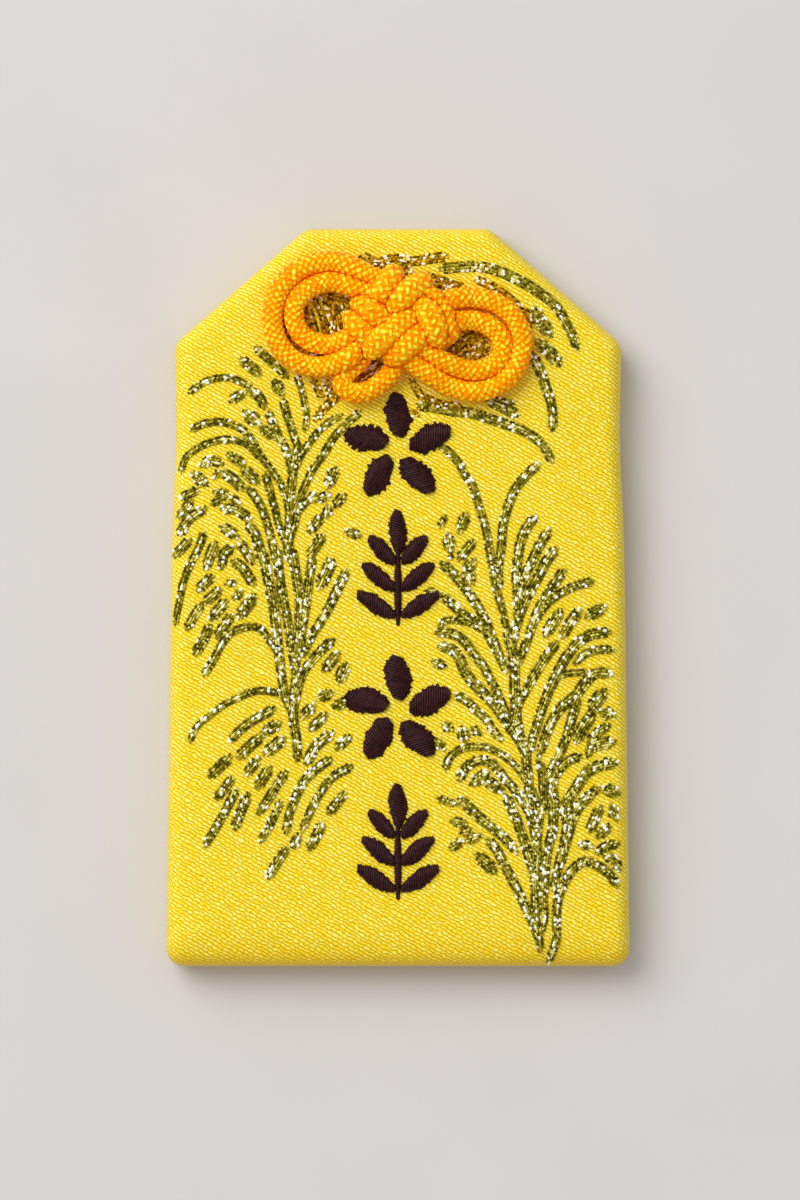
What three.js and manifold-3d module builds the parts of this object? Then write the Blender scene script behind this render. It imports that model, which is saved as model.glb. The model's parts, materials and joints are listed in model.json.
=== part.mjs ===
// An omamori: a padded brocade pouch with clipped shoulders that holds a wrapped wooden slip,
// closed by a braided cord tied on its face in a double four-part knot with two doubled ears.
// Millimetres, +Z up. The charm lies on its back, foot towards -Y and mouth towards +Y,
// with the origin under the middle of its outline, on the surface that it rests on.
import * as THREE from "three";
import { mergeVertices } from "three/addons/utils/BufferGeometryUtils.js";
import Module from "manifold-3d";

const wasm = await Module();
wasm.setup();

// Outline of the pouch
const POUCH_LENGTH = 79.4;
const FOOT_WIDTH = 50;
const SHOULDER_WIDTH = 48.2;
const MOUTH_WIDTH = 19.8;
const SHOULDER_DROP = 12.4;
const FOOT_RADIUS = 1.9;
const SHOULDER_RADIUS = 3;
const MOUTH_RADIUS = 2;
const LEAST_RADIUS = 0.4;
const CORNER_STEPS = 4;

// Layers through the thickness, from the back to the face
const CLOTH = 0.5;
const LINING = 0.25;
const BOARD = 1;
const LAYER_GAP = 0.1;
const PAD_OVER_SLIP = 1.2;
const CROWN = 0.4;

// How the cloth turns over the edges and meets at the seam
const SEAM_HEIGHT = 2.6;
const FACE_TURN = 2.4;
const BACK_TURN = 1.8;
const CROWN_RUN = 6.5;
const TURN_STEPS = 5;
const SEAM_GUTTER = 0.8;
const SEAM_THREAD = 0.35;
const SEAM_PITCH = 3.2;
const SEAM_BITE = 0.9;
const SEAM_CLEARANCE = 0.28;

// Wooden slip in its paper wrapper, and the pocket in the padding that it shifts in
const WRAPPER_WIDTH = 30;
const WRAPPER_LENGTH = 46;
const WRAPPER_THICK = 1.8;
const PAPER = 0.25;
const SLIP_CLEARANCE = 0.15;
const SLIP_SHOULDER = 4;
const SLIP_PLAY = 3;
const POCKET_CLEARANCE = 0.3;
const POCKET_FOOT = 9.5;

// Cord and knot
const CORD = 2;
const CORD_SIDES = 8;
const STEPS_PER_MM = 0.9;
const KNOT_X = -0.2;
const KNOT_DROP = 9.4;
const KNOT_LIFT = 0.25;
const TAIL_SPACING = 4;
const TAIL_CLEARANCE = 0.3;
const STOP_WIDTH = 7.4;
const STOP_LENGTH = 4.4;
const STOP_THICK = 2.3;
const STOP_TRAVEL = 1.5;
const JOINT_GAP = 0.4;

// Heights of the layers, worked out from their thicknesses
const underBoard = CLOTH + LAYER_GAP + LINING + LAYER_GAP;
const boardTop = underBoard + BOARD;
const wrapperBottom = boardTop + SLIP_CLEARANCE;
const wrapperTop = wrapperBottom + WRAPPER_THICK;
const pocketTop = wrapperTop + SLIP_CLEARANCE;
const padTop = pocketTop + PAD_OVER_SLIP;
const faceTop = padTop + LAYER_GAP + LINING + LAYER_GAP + CLOTH;
const faceEdge = faceTop - CROWN;
const mouthY = POUCH_LENGTH / 2;
const footY = -POUCH_LENGTH / 2;
const knotY = mouthY - KNOT_DROP;
const boardInset = underBoard + BACK_TURN;

const COLOURS = {
  brocade: 0xf0c92a,
  lining: 0xf3ead2,
  board: 0xb9a98c,
  padding: 0xf7f4ec,
  paper: 0xf4efe2,
  wood: 0xd9b98a,
  cord: 0xff9a12,
  thread: 0xe2b81e,
};

const charm = new THREE.Group();

function addPiece(name, geometry, colour, roughness = 0.8) {
  const material = new THREE.MeshStandardMaterial({ color: COLOURS[colour], roughness, metalness: 0 });
  const mesh = new THREE.Mesh(geometry, material);
  mesh.name = name;
  charm.add(mesh);
}

// Solids for joining and cutting

function toSolid(geometry) {
  const bare = geometry.clone();
  bare.deleteAttribute("normal");
  bare.deleteAttribute("uv");
  const merged = mergeVertices(bare, 1e-4);
  return new wasm.Manifold(
    new wasm.Mesh({
      numProp: 3,
      vertProperties: merged.attributes.position.array,
      triVerts: new Uint32Array(merged.index.array),
    }),
  );
}

function toGeometry(solid) {
  const mesh = solid.getMesh();
  const geometry = new THREE.BufferGeometry();
  geometry.setAttribute("position", new THREE.BufferAttribute(mesh.vertProperties, 3));
  geometry.setIndex(new THREE.BufferAttribute(mesh.triVerts, 1));
  geometry.computeVertexNormals();
  return geometry;
}

function cut(geometry, ...tools) {
  const solid = tools.reduce((left, tool) => left.subtract(toSolid(tool)), toSolid(geometry));
  return toGeometry(solid);
}

// Joins the pieces into one body, with the pockets that they close between them filled
function join(...geometries) {
  const shells = geometries.map(toSolid).reduce((all, next) => all.add(next)).decompose();
  return toGeometry(shells.sort((a, b) => b.volume() - a.volume())[0]);
}

function block(width, length, bottom, top, x, y) {
  const geometry = new THREE.BoxGeometry(width, length, top - bottom);
  return geometry.translate(x, y, (bottom + top) / 2);
}

function post(radius, bottom, top, x, y, sides = 16) {
  const geometry = new THREE.CylinderGeometry(radius, radius, top - bottom, sides);
  return geometry.rotateX(Math.PI / 2).translate(x, y, (bottom + top) / 2);
}

// The pouch's outline: six corners, each rounded, drawn in by any inset

const CORNERS = [
  { x: FOOT_WIDTH / 2, y: footY, radius: FOOT_RADIUS },
  { x: SHOULDER_WIDTH / 2, y: mouthY - SHOULDER_DROP, radius: SHOULDER_RADIUS },
  { x: MOUTH_WIDTH / 2, y: mouthY, radius: MOUTH_RADIUS },
  { x: -MOUTH_WIDTH / 2, y: mouthY, radius: MOUTH_RADIUS },
  { x: -SHOULDER_WIDTH / 2, y: mouthY - SHOULDER_DROP, radius: SHOULDER_RADIUS },
  { x: -FOOT_WIDTH / 2, y: footY, radius: FOOT_RADIUS },
];

function inwardNormal(from, to) {
  return new THREE.Vector2(from.y - to.y, to.x - from.x).normalize();
}

function outlineRing(inset, z) {
  const points = [];
  CORNERS.forEach((corner, i) => {
    const before = inwardNormal(CORNERS[(i + CORNERS.length - 1) % CORNERS.length], corner);
    const after = inwardNormal(corner, CORNERS[(i + 1) % CORNERS.length]);
    const towardsMiddle = before.clone().add(after).divideScalar(1 + before.dot(after));
    const radius = Math.max(corner.radius - inset, LEAST_RADIUS);
    const centre = new THREE.Vector2(corner.x, corner.y).addScaledVector(towardsMiddle, inset + radius);
    const start = Math.atan2(-before.y, -before.x);
    const turn = Math.acos(THREE.MathUtils.clamp(before.dot(after), -1, 1));
    for (let k = 0; k <= CORNER_STEPS; k++) {
      const angle = start + (turn * k) / CORNER_STEPS;
      points.push(
        new THREE.Vector3(centre.x + radius * Math.cos(angle), centre.y + radius * Math.sin(angle), z),
      );
    }
  });
  return points;
}

// A closed skin over rings of equal counts, flat at the first and the last ring
function loft(rings) {
  const count = rings[0].length;
  const faces = [];
  for (let r = 0; r + 1 < rings.length; r++) {
    for (let i = 0; i < count; i++) {
      const a = r * count + i;
      const b = r * count + ((i + 1) % count);
      faces.push(a, b, b + count, a, b + count, a + count);
    }
  }
  const flat = (ring) => THREE.ShapeUtils.triangulateShape(ring.map((p) => new THREE.Vector2(p.x, p.y)), []);
  const last = (rings.length - 1) * count;
  flat(rings[0]).forEach(([a, b, c]) => faces.push(c, b, a));
  flat(rings.at(-1)).forEach(([a, b, c]) => faces.push(last + a, last + b, last + c));
  const geometry = new THREE.BufferGeometry();
  const positions = rings.flat().flatMap((p) => [p.x, p.y, p.z]);
  geometry.setAttribute("position", new THREE.Float32BufferAttribute(positions, 3));
  geometry.setIndex(faces);
  geometry.computeVertexNormals();
  return geometry;
}

// Rings from the seam up over the padded face, for a layer that lies that deep under the cloth's outside
function faceRings(depth, gutter) {
  const rise = faceEdge - depth - SEAM_HEIGHT;
  const first = Math.asin(gutter / rise);
  const rings = [];
  for (let k = 0; k <= TURN_STEPS; k++) {
    const angle = first + ((Math.PI / 2 - first) * k) / TURN_STEPS;
    const inset = depth + FACE_TURN * (1 - Math.cos(angle));
    rings.push(outlineRing(inset, SEAM_HEIGHT + rise * Math.sin(angle)));
  }
  const crowned = [0.5, 1].map((share) => {
    const height = faceEdge - depth + CROWN * Math.sin((share * Math.PI) / 2);
    return outlineRing(depth + FACE_TURN + CROWN_RUN * share, height);
  });
  return rings.concat(crowned);
}

// Rings from the seam down round the back edge to the flat back
function backRings(depth, gutter) {
  const drop = SEAM_HEIGHT - depth;
  const first = Math.asin(gutter / drop);
  const rings = [];
  for (let k = 0; k <= TURN_STEPS; k++) {
    const angle = first + ((Math.PI / 2 - first) * k) / TURN_STEPS;
    const inset = depth + BACK_TURN * (1 - Math.cos(angle));
    rings.push(outlineRing(inset, SEAM_HEIGHT - drop * Math.sin(angle)));
  }
  return rings;
}

function faceShell(depth, thick, gutter) {
  return loft([...faceRings(depth + thick, gutter).reverse(), ...faceRings(depth, gutter)]);
}

function backShell(depth, thick, gutter) {
  return loft([...backRings(depth, gutter).reverse(), ...backRings(depth + thick, gutter)]);
}

// Cloth, lining, board and padding

const tailX = [KNOT_X - TAIL_SPACING / 2, KNOT_X + TAIL_SPACING / 2];
const tailHoles = tailX.map((x) => post(CORD / 2 + TAIL_CLEARANCE, SEAM_HEIGHT, faceTop + 1, x, knotY));
const stopRoom = block(
  STOP_WIDTH + 2 * TAIL_CLEARANCE,
  STOP_LENGTH + 2 * TAIL_CLEARANCE,
  0,
  faceTop + 1,
  KNOT_X,
  knotY,
);
const liningDepth = CLOTH + LAYER_GAP;

addPiece("front_panel", cut(faceShell(0, CLOTH, 0), ...tailHoles), "brocade", 0.45);
addPiece("back_panel", backShell(0, CLOTH, 0), "brocade", 0.45);
addPiece("front_lining", cut(faceShell(liningDepth, LINING, SEAM_GUTTER), ...tailHoles), "lining");
addPiece("back_lining", backShell(liningDepth, LINING, SEAM_GUTTER), "lining");

const boardSlab = loft([outlineRing(boardInset, underBoard), outlineRing(boardInset, boardTop)]);
addPiece("core_board", cut(boardSlab, stopRoom), "board", 0.9);

const pocketLength = WRAPPER_LENGTH + SLIP_PLAY + 2 * POCKET_CLEARANCE;
const pocketY = footY + POCKET_FOOT + pocketLength / 2;
const pocket = block(WRAPPER_WIDTH + 2 * POCKET_CLEARANCE, pocketLength, 0, pocketTop, 0, pocketY);
const padRings = [
  outlineRing(boardInset, boardTop + LAYER_GAP),
  ...faceRings(underBoard, SEAM_GUTTER),
];
addPiece("wadding", cut(loft(padRings), pocket, stopRoom), "padding", 0.95);

// Wooden slip in its paper wrapper, open at the mouth end

const wrapperFoot = footY + POCKET_FOOT + POCKET_CLEARANCE;
const wrapperY = wrapperFoot + WRAPPER_LENGTH / 2;
const wrapperRoom = block(
  WRAPPER_WIDTH - 2 * PAPER,
  WRAPPER_LENGTH,
  wrapperBottom + PAPER,
  wrapperTop - PAPER,
  0,
  wrapperY + PAPER,
);
const wrapperBlock = block(WRAPPER_WIDTH, WRAPPER_LENGTH, wrapperBottom, wrapperTop, 0, wrapperY);
addPiece("paper_wrapper", cut(wrapperBlock, wrapperRoom), "paper", 0.9);

function slipGeometry() {
  const half = WRAPPER_WIDTH / 2 - PAPER - SLIP_CLEARANCE;
  const foot = wrapperFoot + PAPER + SLIP_CLEARANCE;
  const head = wrapperFoot + WRAPPER_LENGTH - PAPER;
  const outline = new THREE.Shape();
  outline.moveTo(-half, foot);
  outline.lineTo(half, foot);
  outline.lineTo(half, head - SLIP_SHOULDER);
  outline.lineTo(0, head);
  outline.lineTo(-half, head - SLIP_SHOULDER);
  const depth = WRAPPER_THICK - 2 * PAPER - 2 * SLIP_CLEARANCE;
  const geometry = new THREE.ExtrudeGeometry(outline, { depth, bevelEnabled: false });
  return geometry.translate(0, 0, wrapperBottom + PAPER + SLIP_CLEARANCE);
}
addPiece("wooden_slip", slipGeometry(), "wood", 0.7);

// Tubes along curves

function roundSection(radius, sides) {
  const section = new THREE.Shape();
  for (let k = 0; k < sides; k++) {
    const angle = (2 * Math.PI * (k + 0.5)) / sides;
    const x = radius * Math.cos(angle);
    const y = radius * Math.sin(angle);
    if (k === 0) section.moveTo(x, y);
    else section.lineTo(x, y);
  }
  section.closePath();
  return section;
}

function tube(curve, diameter, sides, steps) {
  const section = roundSection(diameter / 2, sides);
  return new THREE.ExtrudeGeometry(section, { steps, extrudePath: curve, bevelEnabled: false });
}

// Thread that draws the face and the back together inside the seam, in a zigzag along one side

function seamThread(from, to) {
  const inset = CLOTH + SEAM_CLEARANCE + SEAM_THREAD / 2;
  const inward = inwardNormal(from, to);
  const start = new THREE.Vector2(from.x, from.y).addScaledVector(inward, inset);
  const end = new THREE.Vector2(to.x, to.y).addScaledVector(inward, inset);
  const run = start.distanceTo(end);
  const clear = Math.max(from.radius, to.radius);
  const stitches = Math.max(2, Math.floor((run - 2 * clear) / SEAM_PITCH));
  const points = [];
  for (let k = 0; k <= 2 * stitches; k++) {
    const share = (clear + ((run - 2 * clear) * k) / (2 * stitches)) / run;
    const at = start.clone().lerp(end, share);
    const side = k % 2 === 0 ? 0.5 : -0.5;
    points.push(new THREE.Vector3(at.x, at.y, SEAM_HEIGHT + side * SEAM_BITE));
  }
  return tube(new THREE.CatmullRomCurve3(points, false, "centripetal"), SEAM_THREAD, 4, 4 * stitches);
}
addPiece("right_seam_thread", seamThread(CORNERS[0], CORNERS[1]), "thread");
addPiece("left_seam_thread", seamThread(CORNERS[4], CORNERS[5]), "thread");
addPiece("foot_seam_thread", seamThread(CORNERS[5], CORNERS[0]), "thread");

// The cord's route. Each point is [across, up, height]: across and up from the knot's middle on
// the face, and the height of the cord's middle above the cloth.

const EAR = CORD / 2 + KNOT_LIFT;
const BACK = CORD / 2 + KNOT_LIFT;
const LOW = 1.95;
const BEND = 2.5;
const HIGH = 3.5;

const LEFT_INNER = [
  [-0.25, 4.35, BACK],
  [-0.3, 4.3, BEND],
  [-0.7, 3.7, HIGH],
  [-1.55, 2.3, HIGH],
  [-2.75, 0.4, LOW],
  [-3.9, -1.2, LOW],
  [-5, -2.4, LOW],
  [-6.6, -3.1, EAR],
  [-8.3, -3.15, EAR],
  [-9.85, -2.25, EAR],
  [-10.7, -0.6, EAR],
  [-10.6, 1.25, EAR],
  [-9.3, 2.75, EAR],
  [-7.1, 3.5, EAR],
  [-5, 3.15, LOW],
  [-3.3, 2.55, LOW],
  [-1.6, 2.1, LOW],
  [0.65, 1.55, LOW],
  [2.65, 0.35, HIGH],
  [3.9, -1.55, HIGH],
  [4.4, -2.5, BEND],
  [4.4, -2.6, BACK],
];
const LEFT_OUTER = [
  [2.95, 3.4, BACK],
  [2.85, 3.3, BEND],
  [2, 2.7, HIGH],
  [0.65, 1.55, HIGH],
  [-1.3, -0.55, LOW],
  [-2.9, -2.25, LOW],
  [-3.9, -3.5, LOW],
  [-5.05, -4.6, LOW],
  [-6.7, -5.3, EAR],
  [-8.85, -5.55, EAR],
  [-11.1, -4.75, EAR],
  [-12.8, -2.6, EAR],
  [-13.3, 0.3, EAR],
  [-12.2, 3.5, EAR],
  [-9.85, 5.4, EAR],
  [-7.1, 5.95, EAR],
  [-5, 5.4, LOW],
  [-2.6, 4.1, LOW],
  [-0.8, 3.5, LOW],
  [2, 2.7, LOW],
  [4.15, 1.2, HIGH],
  [5.45, -0.95, HIGH],
  [5.8, -2.15, BEND],
  [5.8, -2.3, BACK],
];
const RIGHT_OUTER = [
  [-2.85, -3.85, BACK],
  [-2.75, -3.75, BEND],
  [-1.75, -2.9, HIGH],
  [-0.1, -1.3, HIGH],
  [2.65, 0.35, LOW],
  [4.15, 1.2, LOW],
  [5.3, 1.75, LOW],
  [6.6, 2.1, LOW],
  [8.2, 2.1, EAR],
  [10.6, 1.4, EAR],
  [12.5, -0.15, EAR],
  [13.55, -2.4, EAR],
  [13.25, -4.8, EAR],
  [11.9, -6.85, EAR],
  [10, -8.05, EAR],
  [8.1, -8.4, EAR],
  [5.9, -7.85, EAR],
  [3.9, -6.6, LOW],
  [1.45, -4.85, LOW],
  [0.5, -4.15, LOW],
  [-1.75, -2.9, LOW],
  [-2.9, -2.25, HIGH],
  [-4, -1.3, HIGH],
  [-4.65, -0.6, BEND],
  [-4.7, -0.45, BACK],
];
const RIGHT_INNER = [
  [-0.3, -4.75, BACK],
  [-0.2, -4.6, BEND],
  [0.5, -4, HIGH],
  [2.1, -2.6, HIGH],
  [3.9, -1.55, LOW],
  [5.5, -0.95, LOW],
  [6.5, -0.5, LOW],
  [8.1, -0.35, EAR],
  [9.85, -1.05, EAR],
  [11.1, -2.6, EAR],
  [11.15, -3.95, EAR],
  [10.4, -5.25, EAR],
  [9.1, -5.95, EAR],
  [7.4, -5.9, EAR],
  [4.95, -4.95, LOW],
  [3.3, -3.85, LOW],
  [2.1, -2.75, LOW],
  [-0.1, -1.3, LOW],
  [-1.3, -0.55, HIGH],
  [-2.75, 0.4, HIGH],
  [-3.7, 1.05, BEND],
  [-3.85, 1.15, BACK],
];
const LOWER_LOOP = [
  [-0.25, 4.35, BACK],
  [-1.2, 1.5, BACK],
  [-2.3, -1.8, BACK],
  [-2.9, -4.6, BACK],
  [-3.7, -6, EAR],
  [-4.95, -6.9, EAR],
  [-5.6, -7.6, EAR],
  [-5.45, -8.4, EAR],
  [-4.6, -8.85, EAR],
  [-3.3, -8.8, EAR],
  [-1.75, -8.1, EAR],
  [-0.5, -6.9, EAR],
  [0.1, -5.6, BACK],
  [0.9, -2, BACK],
  [2, 1.2, BACK],
  [2.95, 3.4, BACK],
];
const BACK_CROSSINGS = [
  [
    [-4.7, -0.45, BACK],
    [-1, -1, BACK],
    [5.8, -2.3, BACK],
  ],
  [
    [-3.85, 1.15, BACK],
    [-0.5, 0, BACK],
    [4.4, -2.6, BACK],
  ],
  [
    [-2.85, -3.85, BACK],
    [-2.6, -2, BACK],
    [-TAIL_SPACING / 2, 0, BACK],
  ],
  [
    [-0.3, -4.75, BACK],
    [1, -2.5, BACK],
    [TAIL_SPACING / 2, 0, BACK],
  ],
];

// Lines across the knot that its ears and its lower loop lift about
const LEFT_HINGE = [new THREE.Vector2(-5, 5), new THREE.Vector2(-5.8, -4.5)];
const RIGHT_HINGE = [new THREE.Vector2(7.3, 0.8), new THREE.Vector2(4.6, -5.8)];
const LOOP_HINGE = [new THREE.Vector2(-3.8, -6.1), new THREE.Vector2(-0.1, -6.3)];

function routeCurve(route) {
  const points = route.map(([across, up, height]) => {
    return new THREE.Vector3(KNOT_X + across, knotY + up, faceTop + height);
  });
  return new THREE.CatmullRomCurve3(points, false, "centripetal");
}

// The places along a curve, as shares of its length, where it passes a hinge line
function hingeCrossings(curve, [from, to]) {
  const samples = 600;
  const side = (point) => {
    const across = point.x - KNOT_X - from.x;
    const up = point.y - knotY - from.y;
    return (to.x - from.x) * up - (to.y - from.y) * across;
  };
  const found = [];
  for (let k = 0; k < samples; k++) {
    const before = side(curve.getPointAt(k / samples));
    const after = side(curve.getPointAt((k + 1) / samples));
    if (before * after < 0) found.push((k + 0.5) / samples);
  }
  return [found[0], found.at(-1)];
}

// Part of a curve, between two shares of its length
class Stretch extends THREE.Curve {
  constructor(whole, from, to) {
    super();
    this.whole = whole;
    this.from = from;
    this.to = to;
  }

  getPoint(share, target) {
    return this.whole.getPointAt(this.from + (this.to - this.from) * share, target);
  }
}

function cordStretch(curve, from, to) {
  const length = curve.getLength() * (to - from);
  const steps = Math.max(3, Math.round(length * STEPS_PER_MM));
  return tube(new Stretch(curve, from, to), CORD, CORD_SIDES, steps);
}

// Splits a strand at its hinge line into the free loop and the two ends that stay in the knot
function splitStrand(route, hinge) {
  const curve = routeCurve(route);
  const [out, back] = hingeCrossings(curve, hinge);
  const gap = JOINT_GAP / curve.getLength();
  return {
    loop: cordStretch(curve, out + gap, back - gap),
    ends: [cordStretch(curve, 0, out), cordStretch(curve, back, 1)],
  };
}

const strands = {
  left_ear_inner: splitStrand(LEFT_INNER, LEFT_HINGE),
  left_ear_outer: splitStrand(LEFT_OUTER, LEFT_HINGE),
  right_ear_outer: splitStrand(RIGHT_OUTER, RIGHT_HINGE),
  right_ear_inner: splitStrand(RIGHT_INNER, RIGHT_HINGE),
  lower_loop: splitStrand(LOWER_LOOP, LOOP_HINGE),
};
Object.entries(strands).forEach(([name, strand]) => addPiece(name, strand.loop, "cord", 0.6));

const crossings = BACK_CROSSINGS.map((route) => cordStretch(routeCurve(route), 0, 1));
const strandEnds = Object.values(strands).flatMap((strand) => strand.ends);
addPiece("knot_core", join(...strandEnds, ...crossings), "cord", 0.6);

// The cord's two tails go through the face and are stopped inside by a flat knot

const tailTop = faceTop + KNOT_LIFT - JOINT_GAP;
const liningUnderside = faceTop - CLOTH - LAYER_GAP - LINING;
const stopTop = liningUnderside - STOP_TRAVEL - LAYER_GAP;
["left_tail", "right_tail"].forEach((name, side) => {
  addPiece(name, post(CORD / 2, stopTop + JOINT_GAP, tailTop, tailX[side], knotY, CORD_SIDES), "cord", 0.6);
});
const stopKnot = new THREE.SphereGeometry(0.5, 14, 8);
stopKnot.rotateX(Math.PI / 2).scale(STOP_WIDTH, STOP_LENGTH, STOP_THICK);
stopKnot.translate(KNOT_X, knotY, stopTop - STOP_THICK / 2);
addPiece("tail_knot", stopKnot, "cord", 0.6);

export default charm;
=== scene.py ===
# %% [markdown]
# # An omamori charm, dressed
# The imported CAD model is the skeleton: it says how big the pouch is and where each body turns.
# Everything below is skin around it. Sizes are written in millimetres, as a maker would say them,
# and become metres when a mesh is finished.

# %% Load the frame
import json
import math
import random

import bmesh
import bpy
import numpy as np
from mathutils import Matrix, Vector, noise
from mathutils.bvhtree import BVHTree


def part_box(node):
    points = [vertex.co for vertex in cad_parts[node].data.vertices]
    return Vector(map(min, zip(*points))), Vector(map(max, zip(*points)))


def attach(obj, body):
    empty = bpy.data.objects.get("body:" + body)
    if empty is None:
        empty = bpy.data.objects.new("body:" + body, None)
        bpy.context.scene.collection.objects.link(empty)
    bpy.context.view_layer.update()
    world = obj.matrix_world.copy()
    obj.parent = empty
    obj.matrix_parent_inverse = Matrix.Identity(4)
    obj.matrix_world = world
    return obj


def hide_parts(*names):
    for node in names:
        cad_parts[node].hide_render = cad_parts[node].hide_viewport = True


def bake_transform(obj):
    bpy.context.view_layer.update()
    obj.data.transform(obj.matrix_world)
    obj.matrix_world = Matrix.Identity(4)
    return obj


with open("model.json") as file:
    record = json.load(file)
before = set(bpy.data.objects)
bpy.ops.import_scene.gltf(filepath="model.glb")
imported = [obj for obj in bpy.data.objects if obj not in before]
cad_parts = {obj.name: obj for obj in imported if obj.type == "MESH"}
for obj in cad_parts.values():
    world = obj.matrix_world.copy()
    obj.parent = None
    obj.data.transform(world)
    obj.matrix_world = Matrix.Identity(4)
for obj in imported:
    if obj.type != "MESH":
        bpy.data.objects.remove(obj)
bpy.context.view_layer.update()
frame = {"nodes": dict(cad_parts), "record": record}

MM = 0.001
scene = bpy.context.scene

# %% [markdown]
# ## The camera
# The charm lies on its back and is seen from straight above, so an unturned camera, which looks
# down with +Y up, already stands right. A long lens from 0.9 m keeps the edges upright, as a
# product picture does. The frame is 129.3 mm tall at the height of the side seam.

# %% Camera
SEAM_Z = 2.6
CAMERA_REACH = 900
CAMERA_OVER = (0.22, -0.27)
FRAME_HEIGHT = 129.3
lens = bpy.data.cameras.new("overhead")
lens.sensor_fit = "VERTICAL"
lens.sensor_height = 24
lens.lens = lens.sensor_height * CAMERA_REACH / FRAME_HEIGHT
lens.clip_start = 0.01
camera = bpy.data.objects.new("overhead", lens)
camera.location = Vector((*CAMERA_OVER, SEAM_Z + CAMERA_REACH)) * MM
scene.collection.objects.link(camera)
scene.camera = camera
print(f"lens {lens.lens:.0f} mm")

# %% [markdown]
# ## Where the cord goes
# The knot is one braided cord that dives under itself and comes up again. Each ear is two loops
# side by side, and a small loop hangs below. The routes began as the CAD's, and points were then moved
# by up to about a millimetre to look right: across, up, and height over the face, from the knot's
# middle. A few heights say which pass lies over which.

# %% Routes of the cord
FACE_TOP = 6.2
KNOT_MIDDLE = np.array([-0.2, 30.3, FACE_TOP])
DOWN, BACK, EAR, LOW, BEND, SIDE, HIGH, TOP = 1.3, 1.4, 1.4, 1.95, 2.5, 2.85, 3.15, 3.45
LEFT_INNER = [
    (-0.25, 4.35, BACK), (-0.3, 4.3, BEND), (-0.7, 3.7, HIGH), (-1.55, 2.3, HIGH), (-2.75, 0.4, LOW),
    (-3.9, -1.2, LOW), (-5, -2.4, LOW), (-6.6, -3.1, EAR), (-8.3, -3.15, EAR), (-10, -2.3, EAR),
    (-10.9, -0.6, EAR), (-10.75, 1.25, EAR), (-9.4, 2.8, EAR), (-7.1, 3.55, EAR), (-5, 3.1, LOW),
    (-3.3, 2.55, LOW), (-1.6, 2.15, LOW), (0.6, 1.8, LOW), (2.2, 1.45, BEND), (3.45, 0.15, TOP),
    (4.25, -1.7, TOP), (4.4, -2.6, BEND), (4.4, -2.7, BACK)]
LEFT_OUTER = [
    (2.95, 3.45, BACK), (2.85, 3.4, BEND), (2, 2.9, HIGH), (0.6, 1.8, TOP), (-1.3, -0.5, LOW),
    (-2.9, -2.25, LOW), (-3.9, -3.5, LOW), (-5.05, -4.6, BEND), (-6.7, -5.3, LOW), (-8.85, -5.55, EAR),
    (-11.1, -4.75, EAR), (-12.8, -2.6, EAR), (-13.25, 0.3, EAR), (-12.1, 3.3, EAR), (-9.8, 5.15, EAR),
    (-7.1, 5.75, EAR), (-5, 5.3, LOW), (-2.6, 4.1, LOW), (-0.8, 3.5, LOW), (2, 2.75, LOW),
    (3.35, 2.1, BEND), (4.5, 1.05, BEND), (5.4, -0.75, BEND), (5.6, -1.95, BEND), (5.6, -2.1, BACK)]
RIGHT_OUTER = [
    (-2.85, -3.85, BACK), (-2.75, -3.75, BEND), (-1.75, -2.9, TOP), (-0.1, -1.35, TOP), (1.3, -0.3, SIDE),
    (2.65, 0.4, LOW), (4.15, 1.1, LOW), (5.3, 1.55, LOW), (6.6, 1.8, LOW), (8.2, 1.85, EAR),
    (10.6, 1.3, EAR), (12.5, -0.15, EAR), (13.55, -2.4, EAR), (13.25, -4.8, EAR), (11.9, -6.85, EAR),
    (10, -7.95, EAR), (8.1, -8.25, EAR), (5.9, -7.75, EAR), (3.9, -6.6, LOW), (1.45, -4.85, LOW),
    (0.5, -4.15, LOW), (-1.75, -2.9, LOW), (-2.9, -2.25, SIDE), (-4, -1.3, HIGH), (-4.65, -0.6, BEND),
    (-4.7, -0.45, BACK)]
RIGHT_INNER = [
    (-0.35, -4.7, BACK), (-0.25, -4.55, BEND), (0.42, -3.92, HIGH), (2, -2.5, HIGH), (3.85, -1.5, LOW),
    (5.5, -1.1, LOW), (6.5, -0.75, LOW), (8.1, -0.6, EAR), (9.95, -1.15, EAR), (11.3, -2.6, EAR),
    (11.4, -4, EAR), (10.6, -5.35, EAR), (9.1, -5.95, EAR), (7.4, -5.9, EAR), (4.95, -4.95, LOW),
    (3.3, -3.85, LOW), (2.1, -2.75, LOW), (-0.1, -1.3, LOW), (-1.3, -0.55, SIDE), (-2.75, 0.4, TOP),
    (-3.7, 1.05, BEND), (-3.85, 1.15, BACK)]
LOWER_LOOP = [
    (-0.25, 4.35, BACK), (-1.2, 1.5, BACK), (-2.4, -1.8, BACK), (-3.3, -4.1, BACK), (-4.2, -5.3, DOWN),
    (-5.2, -6.1, DOWN), (-5.75, -7, DOWN), (-5.5, -7.9, EAR), (-4.6, -8.4, EAR), (-3.3, -8.25, EAR),
    (-1.8, -7.45, EAR), (-0.7, -6.4, EAR), (0, -5.2, BACK), (0.9, -2, BACK), (2, 1.2, BACK),
    (3.05, 3.75, BACK)]
BACK_CROSSINGS = [
    [(-4.7, -0.45, BACK), (-1, -1, BACK), (5.8, -2.3, BACK)],
    [(-3.85, 1.15, BACK), (-0.5, 0, BACK), (4.4, -2.6, BACK)],
    [(-2.85, -3.85, BACK), (-2.6, -2, BACK), (-2, 0, BACK)],
    [(-0.3, -4.75, BACK), (1, -2.5, BACK), (2, 0, BACK)]]

# %% A smooth line through a route
STEP = 0.075
SPAN_STEPS, SMOOTHINGS, FEWEST = 20, 3, 8
UPRIGHT = 0.9

def distances(line):
    """How far along a line each of its points is."""
    return np.append(0, np.cumsum(np.linalg.norm(np.diff(line, axis=0), axis=1)))

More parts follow.
